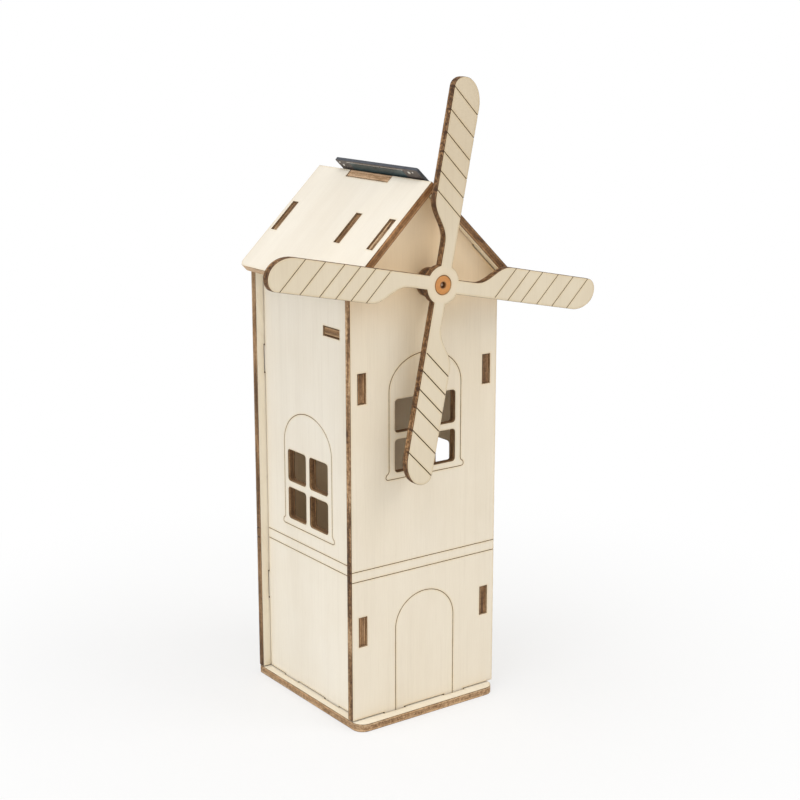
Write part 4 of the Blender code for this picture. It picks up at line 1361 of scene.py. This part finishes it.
# dark film on the underside, a bright trace beside it and soldered pads
slab("solar_back_film",
     [rounded_rectangle(PANEL_FRONT + 9.5, PANEL_REAR - 8.5, PANEL_LOW + 2.0,
                        PANEL_RIDGE - 1.15, radius=0.8)],
     UNDERSIDE - 0.09, UNDERSIDE - 0.01,
     circuit_board("back_film", rgb(66, 84, 88), seed=4),
     chamfer=0.04)
TIN = metal("solder_tin", (0.78, 0.77, 0.74), seed=15, brush=(2, 2, 2),
            tarnish=0.3)
slab("solar_back_trace",
     [rounded_rectangle(PANEL_FRONT + 9.0, PANEL_REAR - 7.0, PANEL_RIDGE - 1.05,
                        PANEL_RIDGE - 0.75, radius=0.12)],
     UNDERSIDE - 0.08, UNDERSIDE - 0.01, TIN, chamfer=0.04)
domes("solar_solder_pads", [(PANEL_REAR - 3.4, PANEL_RIDGE - 2.9, 0.60, 0.30),
                            (PANEL_REAR - 2.2, PANEL_RIDGE - 1.3, 0.40, 0.2),
                            (PANEL_FRONT + 6.0, PANEL_RIDGE - 1.9, 0.75, 0.30),
                            (PANEL_FRONT + 3.5, PANEL_RIDGE - 1.5, 0.40, 0.2)],
      TIN)

CELLS = (1, 2, 3, 4)
FINGERS, FINGER_HALF = 17, 0.07
FINGER_END_GAP, FINGER_SIDE_GAP = 0.4, 0.5
BAR_HALF, BAR_END_GAP = 0.35, 0.2
for i in CELLS:
    remake(f"solar_cell_{i}", "wafer", silicon(f"silicon_{i}", seed=i), "house",
           bevel=0.03, segments=1)


def add_cell_wiring():
    """Silver fingers and a bus bar on every cell."""
    fingers, bars = [], []
    for i in CELLS:
        cell = Flat(f"solar_cell_{i}", RIGHT_SLOPE)
        x0, x1, y0, y1 = cell.extent()
        first, last = y0 + FINGER_SIDE_GAP, y1 - FINGER_SIDE_GAP
        for k in range(FINGERS):
            y = first + (last - first) * k / (FINGERS - 1)
            fingers.append(rectangle(x0 + FINGER_END_GAP, x1 - FINGER_END_GAP,
                                     y - FINGER_HALF, y + FINGER_HALF))
        middle = (x0 + x1) / 2
        bars.append(rectangle(middle - BAR_HALF, middle + BAR_HALF,
                              y0 + BAR_END_GAP, y1 - BAR_END_GAP))
    top = cell.top
    slab("solar_fingers", fingers, top + 0.004, top + 0.018, TIN,
         chamfer=0.004)
    slab("solar_bus_bars", bars, top + 0.020, top + 0.045, TIN,
         chamfer=0.006)


add_cell_wiring()
remake("solar_cover", "epoxy", clear_epoxy(), "house", bevel=0.10,
       segments=3)


# ================================================ stage and light, in metres
FLOOR_HALF, FLOOR_GAP = 40.0, 0.00005
LIGHT_TARGET = (0, 0, 0.11)
# name, place, size, watts, colour
SOFTBOXES = (
    ("top", (-0.55, -0.10, 1.15), 1.0, 5.6, (1, 1, 1)),
    ("left", (-0.75, -0.15, 0.08), 0.5, 1.0, (1, 1, 1)),
    ("key", (0.65, -0.75, 1.0), 0.70, 4.3, (1.0, 0.98, 0.95)),
    ("front", (0.15, -1.30, 0.35), 1.0, 1.5, (1.0, 0.985, 0.96)))
CAMERA_PLACE = (-0.34297, -0.49286, 0.26313)
CAMERA_AZIMUTH, CAMERA_ELEVATION = math.radians(35.804), math.radians(13.901)
SENSOR_WIDTH, LENS = 36.0, 72.9855     # millimetres


def add_floor():
    bm = bmesh.new()
    bmesh.ops.create_grid(bm, x_segments=2, y_segments=2, size=FLOOR_HALF)
    floor = bpy.data.objects.new("floor", finish_mesh("floor", bm, pale_table()))
    floor.location = (0, 0, cad_low.z - FLOOR_GAP)
    bpy.context.scene.collection.objects.link(floor)


def add_world():
    """A soft warm fill that the camera sees as plain white."""
    world = Graph(bpy.data.worlds.new("studio"), "ShaderNodeOutputWorld")
    fill = world.add("ShaderNodeBackground",
                     {"Color": (1.0, 0.99, 0.97), "Strength": 0.56})
    seen = world.add("ShaderNodeBackground",
                     {"Color": (1, 1, 1), "Strength": 1.0})
    bpy.context.scene.world = world.surface(world.mix_shaders(
        world.is_camera_ray(), fill.outputs[0], seen.outputs[0]))


def add_softbox(name, place, size, watts, colour):
    data = bpy.data.lights.new(name, "AREA")
    data.shape = "SQUARE"
    data.size = size
    data.energy = watts
    data.color = colour
    light = bpy.data.objects.new(name, data)
    light.location = place
    look = Vector(LIGHT_TARGET) - Vector(place)
    light.rotation_euler = look.to_track_quat("-Z", "Y").to_euler()
    bpy.context.scene.collection.objects.link(light)


def add_camera():
    azimuth, elevation = CAMERA_AZIMUTH, CAMERA_ELEVATION
    backward = Vector((-math.sin(azimuth) * math.cos(elevation),
                       -math.cos(azimuth) * math.cos(elevation),
                       math.sin(elevation)))
    right = Vector((math.cos(azimuth), -math.sin(azimuth), 0))
    pose = Matrix((right, backward.cross(right), backward)).transposed().to_4x4()
    pose.translation = Vector(CAMERA_PLACE)
    data = bpy.data.cameras.new("camera")
    data.sensor_width = SENSOR_WIDTH
    data.lens = LENS
    data.clip_start, data.clip_end = 0.01, 50.0
    camera = bpy.data.objects.new("camera", data)
    camera.matrix_world = pose
    bpy.context.scene.collection.objects.link(camera)
    bpy.context.scene.camera = camera


add_floor()
add_world()
for softbox in SOFTBOXES:
    add_softbox(*softbox)
add_camera()
bpy.context.scene.view_settings.view_transform = "Standard"
bpy.context.scene.view_settings.look = "None"
